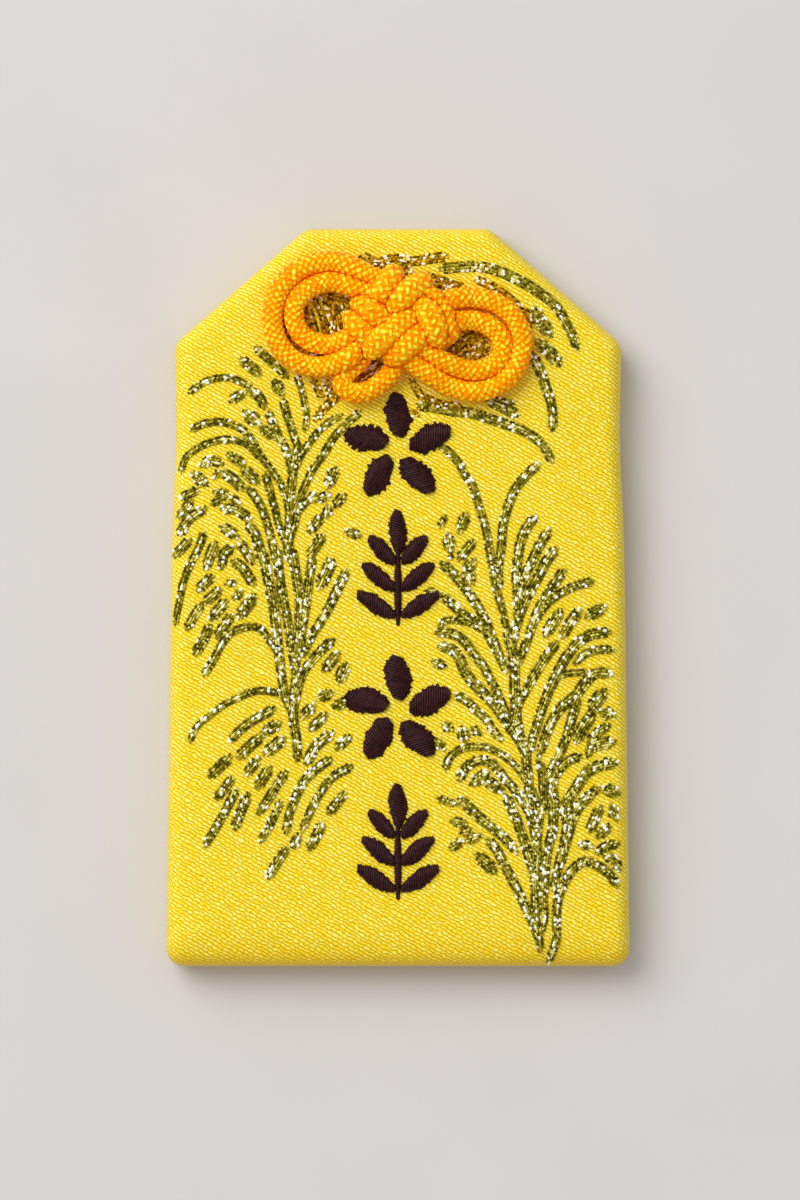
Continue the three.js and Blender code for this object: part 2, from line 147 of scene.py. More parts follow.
def cord_line(points):
    """Points every STEP along a centripetal Catmull-Rom curve, the same kind as the CAD's."""
    p = np.array(points, float)
    p = np.vstack([2 * p[0] - p[1], p, 2 * p[-1] - p[-2]])
    line = []
    for a, b, c, d in zip(p, p[1:], p[2:], p[3:]):
        t0, t1 = 0, np.linalg.norm(b - a) ** 0.5
        t2 = t1 + np.linalg.norm(c - b) ** 0.5
        t3 = t2 + np.linalg.norm(d - c) ** 0.5
        for t in np.linspace(t1, t2, SPAN_STEPS, endpoint=False):
            ab = a + (b - a) * (t - t0) / (t1 - t0)
            bc = b + (c - b) * (t - t1) / (t2 - t1)
            cd = c + (d - c) * (t - t2) / (t3 - t2)
            abc = ab + (bc - ab) * (t - t0) / (t2 - t0)
            bcd = bc + (cd - bc) * (t - t1) / (t3 - t1)
            line.append(abc + (bcd - abc) * (t - t1) / (t2 - t1))
    line = np.array(line + [p[-2]])
    for _ in range(SMOOTHINGS):
        line[1:-1] = (line[:-2] + 2 * line[1:-1] + line[2:]) / 4
    along = distances(line)
    even = np.linspace(0, along[-1], max(FEWEST, round(along[-1] / STEP)))
    return np.stack([np.interp(even, along, line[:, k]) for k in range(3)], axis=1), even

def cord_frames(line):
    """A sideways and an upward direction at each point, carried along without twisting."""
    ahead = np.gradient(line, axis=0)
    ahead /= np.linalg.norm(ahead, axis=1)[:, None]
    side = np.zeros_like(line)
    middle = len(line) // 2
    side[middle] = np.cross((0, 0, 1) if abs(ahead[middle][2]) < UPRIGHT else (0, 1, 0), ahead[middle])
    for order in (range(middle + 1, len(line)), range(middle - 1, -1, -1)):
        last = side[middle]
        for k in order:
            last = last - ahead[k] * (last @ ahead[k])
            side[k] = last = last / np.linalg.norm(last)
    side[middle] /= np.linalg.norm(side[middle])
    return side, np.cross(ahead, side)

# %% [markdown]
# ## Braiding the cord
# A round charm cord is braided from yarns that wind both ways, each over one and under the next. A bump
# map would flatten at the edges, so the yarns are real: six wind to each hand, and each is a bevelled
# curve that dips where it goes under, over a core that shows between them. A pass that lies on top
# swells and is pressed a little flat. Two attributes stay on the mesh for the finish. One is how far a
# point stands out, less on the flanks and more where a pass lies high; it sets a painted highlight on the
# crests and upper sides of the yarns. The other is how close the next pass presses on it; it sets painted
# shade in the creases.

# %% Curves and meshes
def link(name, data):
    made = bpy.data.objects.new(name, data)
    scene.collection.objects.link(made)
    return made

def new_curve(name, radius, resolution):
    curve = bpy.data.curves.new(name, "CURVE")
    curve.dimensions = "3D"
    curve.fill_mode = "FULL"
    curve.bevel_depth = radius * MM
    curve.bevel_resolution = resolution
    curve.use_fill_caps = True
    return curve

def curve_mesh(name, curve):
    """A bevelled curve as a smooth mesh piece at the origin."""
    rope = link(name + "_curve", curve)
    mesh = bpy.data.meshes.new_from_object(rope.evaluated_get(bpy.context.evaluated_depsgraph_get()))
    bpy.data.objects.remove(rope)
    mesh.name = name
    mesh.polygons.foreach_set("use_smooth", [True] * len(mesh.polygons))
    return link(name, mesh)

def add_yarn(curve, points, radius, look=0):
    spline = curve.splines.new("POLY")
    spline.points.add(len(points) - 1)
    spline.points.foreach_set("co", np.column_stack([points, np.ones(len(points))]).ravel())
    spline.points.foreach_set("radius", radius)
    spline.material_index = look

# %% Braid
YARNS, LAY = 6, 4.5
YARN_RADIUS = 0.28
OVER, UNDER = 0.88, 0.62
PLUMP = (0.82, 1.1)
LONG_FLOAT = 0.6
CORE_RADIUS, CREST_RADIUS = 1.01, 1.155
CORE_APART, CORE_SECOND = 0.03, 0.985
SWELL, WIDEN = 0.08, 0.26
LEAST_LEVEL = 0.05
YARN_LOOK, CORE_LOOK = 0, 1

def swelling(line, amount):
    """How much a cord grows where it lies high on the knot."""
    return 1 + amount * np.clip((line[:, 2] - FACE_TOP - LOW) / (TOP - LOW), 0, 1)

def level_side(ahead):
    """The sideways direction that is level with the face, shorter where the cord stands upright."""
    level = np.cross((0, 0, 1), ahead)
    return level / np.maximum(np.linalg.norm(level, axis=1), LEAST_LEVEL)[:, None]

def widened(offset, ahead, times):
    """Offsets from a cord's middle made wider, level with the face."""
    level = level_side(ahead)
    return offset + level * ((offset * level).sum(1) * (times - 1))[:, None]

def add_core(curve, line, ahead, swell, wide, share):
    """Half of the core: two round strands side by side stand for one flattened strand."""
    aside = level_side(ahead) * (share * (CORE_APART + CORE_RADIUS * swell * (wide - 1)))[:, None]
    add_yarn(curve, (line + aside) * MM, swell * CORE_RADIUS / YARN_RADIUS, CORE_LOOK)

def add_braid(curve, line, along, chance):
    """The yarns of both hands and the core along one route."""
    side, up = cord_frames(line)
    swell, wide, ahead = swelling(line, SWELL), swelling(line, WIDEN), np.gradient(line, axis=0)
    grain = along * YARNS / LAY
    for hand in (-1, 1):
        wave = hand * np.cos(2 * math.pi * grain)
        wave = np.sign(wave) * np.abs(wave) ** LONG_FLOAT
        reach = swell * ((OVER + UNDER) / 2 + (OVER - UNDER) / 2 * wave)
        for k in range(YARNS):
            turn = 2 * math.pi * (k / YARNS + hand * along / LAY)
            offset = side * (reach * np.cos(turn))[:, None] + up * (reach * np.sin(turn))[:, None]
            path = line + widened(offset, ahead, wide)
            uneven = chance.uniform(*PLUMP, int(grain[-1]) + 2)
            plump = np.interp(grain, np.arange(len(uneven)), uneven)
            add_yarn(curve, path * MM, swell * plump, YARN_LOOK)
    for share, fill in ((-1, 1), (1, CORE_SECOND)):
        add_core(curve, line, ahead, swell * fill, wide, share)

# %% Marks for the finish
# Painted shade: within this reach of the next pass a cord is painted red and dark, as shade in the creases.
CREASE_REACH = 0.34
# The painted highlight fades from the crown down the flanks, so the upper side of each yarn is painted paler.
FLANK, CROWN = -0.15, 0.5
# Painted highlight: passes that lie high on the knot are painted paler.
HIGH_PASS_HIGHLIGHT = 0.17
CHUNK = 8000

def nearest_rows(points, rows):
    """For each point, the nearest row and how far off it is."""
    found, gap = [], []
    square = (rows ** 2).sum(1)
    for part in np.array_split(points, 1 + len(points) // CHUNK):
        far = square - 2 * part @ rows.T
        k = far.argmin(1)
        found.append(k)
        gap.append(np.sqrt(np.maximum(far[np.arange(len(k)), k] + (part ** 2).sum(1), 0)))
    return np.concatenate(found), np.concatenate(gap)

def mark(mesh, name, values):
    mesh.attributes.new(name, "FLOAT", "POINT").data.foreach_set("value", np.clip(values, 0, 1))

def mark_braid(mesh, routes, others):
    """Leaves two attributes on a braid's mesh: a painted highlight on crests and upper sides, and painted
    shade in creases.
    """
    spots = np.empty(3 * len(mesh.vertices))
    mesh.vertices.foreach_get("co", spots)
    spots = spots.reshape(-1, 3) / MM
    middle = np.vstack([line for line, _ in routes])
    ahead = np.vstack([np.gradient(line, axis=0) for line, _ in routes])
    row, _ = nearest_rows(spots, middle)
    offset = spots - middle[row]
    out = np.linalg.norm(widened(offset, ahead[row], 1 / swelling(middle, WIDEN)[row]), axis=1)
    # Painted highlight: paler where a yarn stands out and where a pass lies high, on the upper side, fading
    # down the flanks.
    crest_highlight = (out / swelling(middle, SWELL)[row] - CORE_RADIUS) / (CREST_RADIUS - CORE_RADIUS)
    crest_highlight += HIGH_PASS_HIGHLIGHT * (swelling(middle, 1)[row] - 1)
    rise = offset[:, 2] / CORE_RADIUS
    steep = np.abs(ahead[row, 2]) / np.linalg.norm(ahead[row], axis=1)
    mark(mesh, "crest_highlight", crest_highlight * np.clip(np.maximum((rise - FLANK) / (CROWN - FLANK), steep), 0, 1))
    # Painted shade: how close the next pass lies sets how dark the crease is painted.
    row, gap = nearest_rows(spots, others)
    reach = CORE_RADIUS * swelling(others, SWELL + WIDEN / 2)[row]
    mark(mesh, "crease_shade", 1 - (gap - reach) / CREASE_REACH)

def braided(name, routes, others):
    """A braided cord along each route. `others` are points of the passes that may press on it."""
    curve = new_curve(name, YARN_RADIUS, resolution=2)
    for _ in (YARN_LOOK, CORE_LOOK):
        curve.materials.append(None)
    chance = np.random.default_rng(len(others))
    for line, along in routes:
        add_braid(curve, line, along, chance)
    piece = curve_mesh(name, curve)
    mark_braid(piece.data, routes, others)
    print(f"{name}: {len(piece.data.polygons)} faces, {routes[0][1][-1]:.1f} mm")
    return piece

# %% The knot's cords
SPLIT = 4
LOOPS = {
    "left_ear_outer": LEFT_OUTER, "left_ear_inner": LEFT_INNER, "right_ear_outer": RIGHT_OUTER,
    "right_ear_inner": RIGHT_INNER, "lower_loop": LOWER_LOOP}

def knot_line(route):
    return cord_line(np.array(route, float) + KNOT_MIDDLE)

loop_lines = {node: knot_line(route) for node, route in LOOPS.items()}

def passes(node):
    """A loop's two halves without its bend."""
    line, along = loop_lines[node]
    return line[along < along[-1] / 2 - SPLIT], line[along > along[-1] / 2 + SPLIT]

def pressing_on(node):
    """Points of the other loops, which may press on this piece of cord."""
    return np.vstack([half for other in LOOPS if other != node for half in passes(other)])

loops = {node: braided(node + "_cord", [line], pressing_on(node)) for node, line in loop_lines.items()}
back_lines = [knot_line(route) for route in BACK_CROSSINGS]
under_passes = braided("under_passes_cord", back_lines, pressing_on("knot_core"))

# %% The two tails through the face
TAIL_POINTS = 5
NOTHING_NEAR = np.array([(0.0, 0.0, 99.0)])
tails = {}
for node in ("left_tail", "right_tail"):
    low, high = (np.array(corner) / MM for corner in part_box(node))
    across, up = (low[:2] + high[:2]) / 2
    tail = cord_line([(across, up, z) for z in np.linspace(low[2], high[2], TAIL_POINTS)])
    tails[node] = braided(node + "_cord", [tail], NOTHING_NEAR)

# %% Bake the loops in place and hang the under-passes and tails on their bodies
BENDS = [
    ("left_ear", ("left_ear_outer", "left_ear_inner"), (-4.4, 0.3), (-6.4, 0.15)),
    ("right_ear", ("right_ear_outer", "right_ear_inner"), (5, -2.1), (6.9, -2.9)),
    ("loop", ("lower_loop",), (-1.9, -5.4), (-2, -7))]

for body, nodes, start, end in BENDS:
    for node in nodes:
        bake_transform(loops[node])
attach(under_passes, "knot")
for piece in tails.values():
    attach(piece, "tails")
for node, piece in {**tails, **loops, "knot_core": under_passes}.items():
    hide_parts(node)

# %% [markdown]
# ## The pouch
# Two pieces of cloth are sewn face to face, turned, and pulled over a board and a thin pad. A cushion
# simulation would blow this flat pouch up, so the cloth is cut flat on a grid, trimmed to its outline,
# and folded over the edge: each point outside the flat middle walks down a rounded profile by its own
# distance. The flat place of every point is kept as its UV, so the weave bends with the cloth.

# %% Outline and profile
OUTLINE = [(-25, -39.7), (25, -39.7), (24.1, 27.3), (9.9, 39.7), (-9.9, 39.7), (-24.1, 27.3)]
TUCK = 0.8
SQUARE, PROFILE_POINTS = 0.75, 60

def shifted_outline(inset):
    """The outline's corners moved inwards, side by side."""
    corners = np.array(OUTLINE, float)
    sides = np.roll(corners, -1, axis=0) - corners
    inward = np.stack([-sides[:, 1], sides[:, 0]], axis=1) / np.linalg.norm(sides, axis=1)[:, None]
    moved = []
    for k in range(len(corners)):
        a, b = inward[k - 1], inward[k]
        moved.append(np.linalg.solve([a, b], [a @ corners[k] + inset, b @ corners[k] + inset]))
    return np.array(moved)

def nearest_on(corners, point):
    """The nearest place on a closed line of corners, and whether the point lies outside it."""
    best, gap, outside = None, 1e9, False
    for a, b in zip(corners, np.roll(corners, -1, axis=0)):
        way = b - a
        share = np.clip((point - a) @ way / (way @ way), 0, 1)
        place = a + way * share
        far = np.linalg.norm(point - place)
        if far < gap:
            best, gap = place, far
        outside = outside or way[0] * (point[1] - a[1]) - way[1] * (point[0] - a[0]) < 0
    return best, gap, outside

def edge_profile(turn, drop):
    """How far out and down a cloth edge has come after each length of its quarter round."""
    angle = np.linspace(0, math.pi / 2, PROFILE_POINTS)
    out, down = turn * np.sin(angle) ** SQUARE, drop * (1 - np.cos(angle) ** SQUARE)
    return distances(np.stack([out, down], axis=1)), out, down

# %% Cut and trim a panel
SHEET_WIDTH, SHEET_LENGTH, GRID = 62, 92, 0.7
CORNER_CUTS = 7
UV_SIDE = 100

def cut_panel(core, reach):
    """A flat gridded sheet, trimmed round the core at a reach, with each point's flat place as its UV."""
    bm = bmesh.new()
    bmesh.ops.create_grid(bm, x_segments=round(SHEET_WIDTH / GRID), y_segments=round(SHEET_LENGTH / GRID),
                          size=1, matrix=Matrix.Diagonal((SHEET_WIDTH / 2, SHEET_LENGTH / 2, 1, 1)))
    sides = np.roll(core, -1, axis=0) - core
    headings = [math.atan2(-s[0], s[1]) for s in sides]
    for k, corner in enumerate(core):
        first, last = headings[k - 1], headings[k]
        last += 2 * math.pi if last < first else 0
        for share in np.linspace(0, 1, CORNER_CUTS):
            heading = first + (last - first) * share
            away = Vector((math.cos(heading), math.sin(heading), 0))
            edge = Vector((*corner, 0)) + away * reach
            bmesh.ops.bisect_plane(bm, geom=bm.verts[:] + bm.edges[:] + bm.faces[:], dist=1e-6,
                                   plane_co=edge, plane_no=away, clear_outer=True)
    flat = bm.loops.layers.uv.new("cloth")
    for face in bm.faces:
        face.smooth = True
        for loop in face.loops:
            loop[flat].uv = loop.vert.co.xy / UV_SIDE
    return bm

# %% Fold a panel over its edge
FOOT_RUN = 3.8
PULL_IN, PULL_AT, PULL_RUN = 0.012, 17, 7
WAVE, RIPPLE = 9, 3.5
CLOTH_THICK = 0.3

def unevenness(x, y):
    """Long waves and half as strong ripples, as padded cloth has."""
    wave = noise.noise(Vector((x / WAVE, y / WAVE, 0.3)))
    return wave + 0.5 * noise.noise(Vector((x / RIPPLE, y / RIPPLE, 4.1)))

def pouch_panel(name, turn, drop, edge_z, crown, crown_run, uneven, foot_roll):
    core = shifted_outline(turn)
    along, out, down = edge_profile(turn, drop)
    bm = cut_panel(core, along[-1] + TUCK)
    for vert in bm.verts:
        point = np.array(vert.co.xy)
        place, gap, outside = nearest_on(core, point)
        z = edge_z
        if outside:
            away = (point - place) / max(gap, 1e-9)
            x, y = place + away * (np.interp(gap, along, out) - max(0, gap - along[-1]))
            z -= np.interp(gap, along, down)
            flat = max(0, 1 - gap / along[-1])
        else:
            x, y = point
            z += crown * math.sin(math.pi / 2 * min(1, gap / crown_run))
            flat = 1
        x *= 1 - PULL_IN * math.exp(-((y - PULL_AT) / PULL_RUN) ** 2)
        z -= foot_roll * flat * max(0, 1 - (y - OUTLINE[0][1]) / FOOT_RUN) ** 2
        z += uneven * flat * unevenness(x, y)
        vert.co = (x, y, z)
    bmesh.ops.recalc_face_normals(bm, faces=bm.faces[:])
    if sum(f.normal.z * f.calc_area() for f in bm.faces) * drop < 0:
        bmesh.ops.reverse_faces(bm, faces=bm.faces[:])
    bmesh.ops.scale(bm, vec=(MM, MM, MM), verts=bm.verts[:])
    mesh = bpy.data.meshes.new(name)
    bm.to_mesh(mesh)
    bm.free()
    panel = link(name, mesh)
    finer = panel.modifiers.new("finer", "SUBSURF")
    finer.levels = finer.render_levels = 1
    thick = panel.modifiers.new("cloth", "SOLIDIFY")
    thick.thickness = CLOTH_THICK * MM
    thick.offset = -1
    print(f"{name}: {len(mesh.polygons)} faces")
    return panel

# %% Face and back
front_cloth = pouch_panel("front_cloth", turn=1.9, drop=3.2, edge_z=5.8, crown=0.4, crown_run=6.5,
                          uneven=0.07, foot_roll=1.0)
back_cloth = pouch_panel("back_cloth", turn=1.8, drop=-2.6, edge_z=0, crown=0, crown_run=1,
                         uneven=0, foot_roll=0)
for piece, node in ((front_cloth, "front_panel"), (back_cloth, "back_panel")):
    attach(piece, "pouch")
    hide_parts(node)

# %% Where the face is
WELL_ABOVE = 50
face_tree = BVHTree.FromObject(front_cloth, bpy.context.evaluated_depsgraph_get())

def face_height(x, y):
    """Height of the face over a place, in metres."""
    hit = face_tree.ray_cast(Vector((x, y, WELL_ABOVE * MM)), Vector((0, 0, -1)))[0]
    return hit.z if hit else SEAM_Z * MM

def pressed(x, y, inner, outer):
    """How flat the knot presses what lies under it: 1 within the inner reach, 0 past the outer, in mm."""
    far = math.hypot(x / MM - KNOT_MIDDLE[0], y / MM - KNOT_MIDDLE[1])
    return min(1, max(0, (outer - far) / (outer - inner)))

# %% [markdown]
# ## Finishes
# A small helper keeps node trees short: `node` adds one with its sockets filled, `calc` does sums, `ramp`
# turns a value into colour and `times` multiplies two colours. Every finish reads object or UV
# coordinates, so it stays on the piece.

# %% Node helper
class Finish:
    def __init__(self, name, **sockets):
        self.material = bpy.data.materials.new(name)
        self.material.use_nodes = True
        self.tree = self.material.node_tree
        self.shader = self.tree.nodes["Principled BSDF"]
        for socket, value in sockets.items():
            self.put(self.shader.inputs[socket.replace("_", " ")], value)

    def put(self, socket, value):
        if isinstance(value, bpy.types.NodeSocket):
            self.tree.links.new(value, socket)
        else:
            socket.default_value = value

    def node(self, kind, sockets=None, **settings):
        made = self.tree.nodes.new("ShaderNode" + kind)
        for key, value in settings.items():
            setattr(made, key, value)
        for socket, value in (sockets or {}).items():
            self.put(made.inputs[socket], value)
        return made

    def spot(self):
        return self.node("TexCoord").outputs["Object"]

    def noise(self, place, scale, detail):
        return self.node("TexNoise", {"Vector": place, "Scale": scale, "Detail": detail}).outputs[0]

    def calc(self, operation, *values):
        return self.node("Math", dict(enumerate(values)), operation=operation).outputs[0]

    def ramp(self, value, *stops):
        made = self.node("ValToRGB", {0: value})
        marks = made.color_ramp.elements
        while len(marks) < len(stops):
            marks.new(1)
        for mark, (place, colour) in zip(marks, stops):
            mark.position = place
            mark.color = (*colour, 1)
        return made.outputs[0]

    def times(self, first, second):
        sockets = {6: first, 7: second, 0: 1.0}
        return self.node("Mix", sockets, data_type="RGBA", blend_type="MULTIPLY").outputs[2]

    def bump(self, height, depth, strength):
        made = self.node("Bump", {"Height": height, "Distance": depth * MM, "Strength": strength})
        self.put(self.shader.inputs["Normal"], made.outputs[0])

    def colour(self, value):
        self.put(self.shader.inputs["Base Color"], value)

def wear(piece, finish):
    piece.data.materials.clear()
    piece.data.materials.append(finish.material)

# %% [markdown]
# ## Rice ears in metallic thread
# Two sheaves of rice are worked in green-gold lame thread, and sprays show round the knot. Each blade or
# grain is one stroke, listed as its width, then the places that it passes, across and up. A stroke is
# filled with rows of short slanted floats in five tones: a dark one that is painted shade, more of it
# along the edges, two of the thread's own colours, and a pale one and a white one that are a painted
# highlight and painted glints. Near the knot the tones are browner, a painted shadow of the knot and
# painted orange bounce light from the cord. A tube with a speckled finish doesn't sparkle.

# %% Strokes of the rice ears
def strokes(text):
    """Strokes from words: a number alone is the width of a new one, and a pair is its next place."""
    made = []
    for word in text.split():
        if "," in word:
            made[-1][1].append(tuple(float(number) for number in word.split(",")))
        else:
            made.append((float(word), []))
    return made

LEFT_SHEAF = strokes("""
    0.92 -22.3,22.1 -21.4,22.8 -20.2,23.4 -19,23.6 -17.7,23.5 -16.7,23.1 -15.9,22.6
    1.07 -15.7,22.2 -14.9,21.5 -14.4,20.6
    0.93 -22.1,18.1 -21.1,18.6 -19.4,18.9 -17.9,18.6 -16.4,17.8 -15.6,16.7 -14.9,15.4 -13.9,14.1 -13.1,13
        -12.4,11.8 -12,10.5 -11.7,9
    0.93 -23.3,13.6 -22.8,15 -21.6,16 -20.1,16.7 -18.4,17 -17,16.8 -16,16.3 -14.9,15.1
    1.07 -13.9,19.8 -13.4,18.6 -12.7,17.1 -12.1,16 -11.7,14.9 -11.4,13.4
    1.13 -14.6,18.2 -13.4,17.3
    1.04 -12.3,21.1 -12,19.8 -11.5,18.4 -11.1,17.1 -10.7,16.1
    0.93 -10.8,23.7 -10.3,22.1 -10,20.7 -9.8,19.3 -10,18.1
    1.01 -6.2,19.5 -7.3,18.9 -8.5,17.9 -9.6,16.5 -10.4,15.3 -11,14
    1.01 -4.2,19.8 -5.6,18.6 -6.9,17.2 -8,15.4 -9.2,13.7 -10,12 -10.7,10.4 -11.2,9.1
    1.04 -16,11.7 -15.2,10.6 -14.6,9.5 -14.2,8.4 -13.8,7 -13.4,5.3 -13.1,3.9
    0.99 -14.2,13.2 -13.9,12 -13.6,10.8 -13.2,9.5 -12.9,8.1 -12.5,6.9 -12,5.6 -11.7,4.3
    1.04 -10.8,16 -11.2,14.3 -11.4,12.3 -11.6,10.2 -11.7,8.4 -11.8,6.7 -11.9,5.3 -11.7,4
    0.99 -9.1,11.1 -10,10.1 -10.8,9.1 -11.1,7.8 -11.5,6.6 -11.7,5.3
    1.13 -23.4,6.9 -22.6,8.3 -20.9,9.5
    1 -20.9,6.8 -21.4,5.4 -22.4,3.4 -23.1,1.6 -23.4,0 -23.7,-1.4 -23.9,-2.7
    1.13 -18.7,9.6 -17.4,9.4 -16.1,8.6
    0.85 -19.9,10.1 -19,10.5
    1.13 -16,7.8 -15.3,6.7 -14.9,5.3 -14.6,4.2
    1.09 -17,5.9 -16.3,4.9 -15.7,3.9
    1.15 -17.6,3.9 -16.6,3.1 -16,2.2 -15.6,1.6
    0.97 -20.8,-8.2 -19.9,-6.8 -19,-5.1 -18.1,-3.9 -16.9,-3.3 -15.7,-3.1 -14.6,-3.5 -13.9,-4.5 -13.1,-5.7
        -12.7,-6.9 -12.4,-8.5
    0.88 -22.3,-15.3 -21.7,-14 -20.3,-12.7 -18.7,-11.5 -16.9,-10.6 -15.1,-10 -13.6,-10.1 -12.5,-10.4
        -11.8,-11.3 -11.5,-12.1
    1.18 -14.5,4.8 -14,2.1 -13.4,-0.9 -13.1,-3.3 -12.7,-6.9 -12.4,-9.2 -12.1,-10.6 -11.6,-11.9
    1.12 -13,5.1 -12.7,2.1 -12.2,-0.9 -11.8,-2.9 -11.5,-5.1 -11.2,-6.9 -11,-8.2
    1.15 -11.4,5.1 -11,2.8 -10.6,0.1 -10.6,-2.4 -10.7,-4.5 -11,-6.6 -11,-8.5 -11.2,-10.1 -11.3,-11.6
    1.06 -9.2,4.2 -9.5,2.4 -9.8,-0.2 -10.1,-2.4 -10.4,-4.2 -10.7,-5.7
    1.15 -5.6,2.8 -6.6,0.7 -7.5,-1.2 -8.6,-3 -9.5,-4.5 -10.1,-6
    1.15 -7.1,-4.6 -8.3,-5.7 -9.3,-6.8 -10.1,-7.9 -10.6,-9.2 -10.9,-10.4 -11.2,-11.9
    1.27 -11.3,-11.8 -11.2,-13.4 -10.9,-15.2 -10.8,-17.2
    1.07 -17.9,21.2 -16.6,22
    1.19 -16.7,25.5 -15,24.1
    1.19 -15.1,26.7 -13.5,25.2 -12,23.8
    1.3 -13.2,23.1 -12.6,22.1
    1.47 -16.2,19.7 -15.1,18.8
    1.13 -21,14.3 -20.2,14.7 -19.1,14.5
    1.34 -21.9,13.2 -20.8,12.3
    0.85 -19.7,13 -19.3,13.5
    1.2 -18.7,13.4 -17.7,12.7 -16.8,11.8
    1.1 -18.1,15.3 -16.8,14.5
    1.34 -16.5,13.7 -15.3,12.6
    0.99 -23.2,10.8 -21.7,11.5
    0.99 -23.5,8.8 -22.3,10.3
    1.07 -23.9,4.6 -22.5,6.1
    1.18 -19.5,11.4 -18.3,10.9
    0.9 -17.8,10.7 -17.2,10.3
    1.24 -18.8,7.6 -17.5,6.7
    1.19 -19.7,5.7 -20.2,4.5 -20.6,3.4
    1.19 -17.9,5.3 -18.7,4.7 -19,3.4
    1.3 -6.8,13.7 -7.5,12.1
    1.06 -8.7,10.5 -7.6,11
    1.13 -5.9,10.9 -6.7,10
    1.06 -7.5,9.7 -7.6,8.9
    1.21 -8.3,8.6 -9.4,7.3
    1.21 -8.2,6.6 -9.4,4.7
    1.07 -5.4,7.1 -4.3,6.7
    0.99 -7.5,4 -7,3.6
    1.15 -21.4,0.9 -20.1,2.2
    0.94 -18.3,1.5 -17.6,1.7
    1.15 -20.6,-0.4 -19.2,0.8
    1.09 -17.5,0.1 -16.9,0.6
    1.39 -16.9,-1.8 -15.6,0
    1.24 -20,-2.1 -18.6,-0.5
    0.97 -22.6,-3.2 -21.9,-2 -21.2,-0.9
    1.12 -19.4,-4.1 -18,-2
    1.15 -21.7,-5.9 -20.9,-4.5 -20.3,-3.2
    1.39 -7.2,3.8 -8.3,1.4
    1.24 -6.6,-6.1 -7.8,-7.6
    1.3 -5.7,-7.4 -6.3,-8.8
    1.3 -8.4,-10.7 -7.4,-10.3
    1.24 -6.7,-11.6 -5.7,-11.2
    1.24 -10.2,-12.7 -9.2,-11.7
    1.15 -9.3,-14 -7.9,-12.7
    1.21 -9.8,-17.6 -8.7,-15.8 -7.2,-14.6
    1.06 -6.5,-16.1 -5.3,-15
    1.24 -17.9,-15.2 -16.6,-13.9 -15.1,-12.9 -13.5,-12
    1.33 -14.3,-14.3 -13,-13.6
    1.24 -17,-17 -16,-16 -14.8,-15
    1.3 -14.1,-16.6 -12.5,-15.3
    1.23 -20.1,-19 -19.1,-18.1 -18.2,-17.2
    1.1 -16.2,-18.8 -15.1,-17.4
    1.23 -15,-20.2 -13.9,-18.4
    1.02 -19.4,-21.4 -17.9,-19.5
    1.13 -20.7,-26.5 -19.5,-24.6 -18.5,-22.8 -17.5,-20.8
    1.13 -17.5,-24.6 -16.9,-23 -16.2,-21.3
    1.27 -14.9,-23 -13.8,-21.4 -13,-20 -12.2,-18.9
    1.07 -14.7,-26 -13.8,-24.5 -13.1,-23 -12.7,-22
    1.15 -12,-25 -11.7,-23.3 -11,-21.4 -10.1,-19.7 -8.8,-18.4 -7.4,-17.4
    1.07 -10.2,-24.7 -9.4,-22.9 -8.4,-21 -7.1,-19.3 -5.2,-18.2
    1.1 -7.3,-23 -5.9,-21.1
    1.1 -11.2,-26.6 -10.7,-25.5
    1.15 -9.5,-26.8 -8.8,-25.6 -8.2,-24.3
    1.07 -13.9,-29.9 -13,-28.4 -12.1,-27
""")
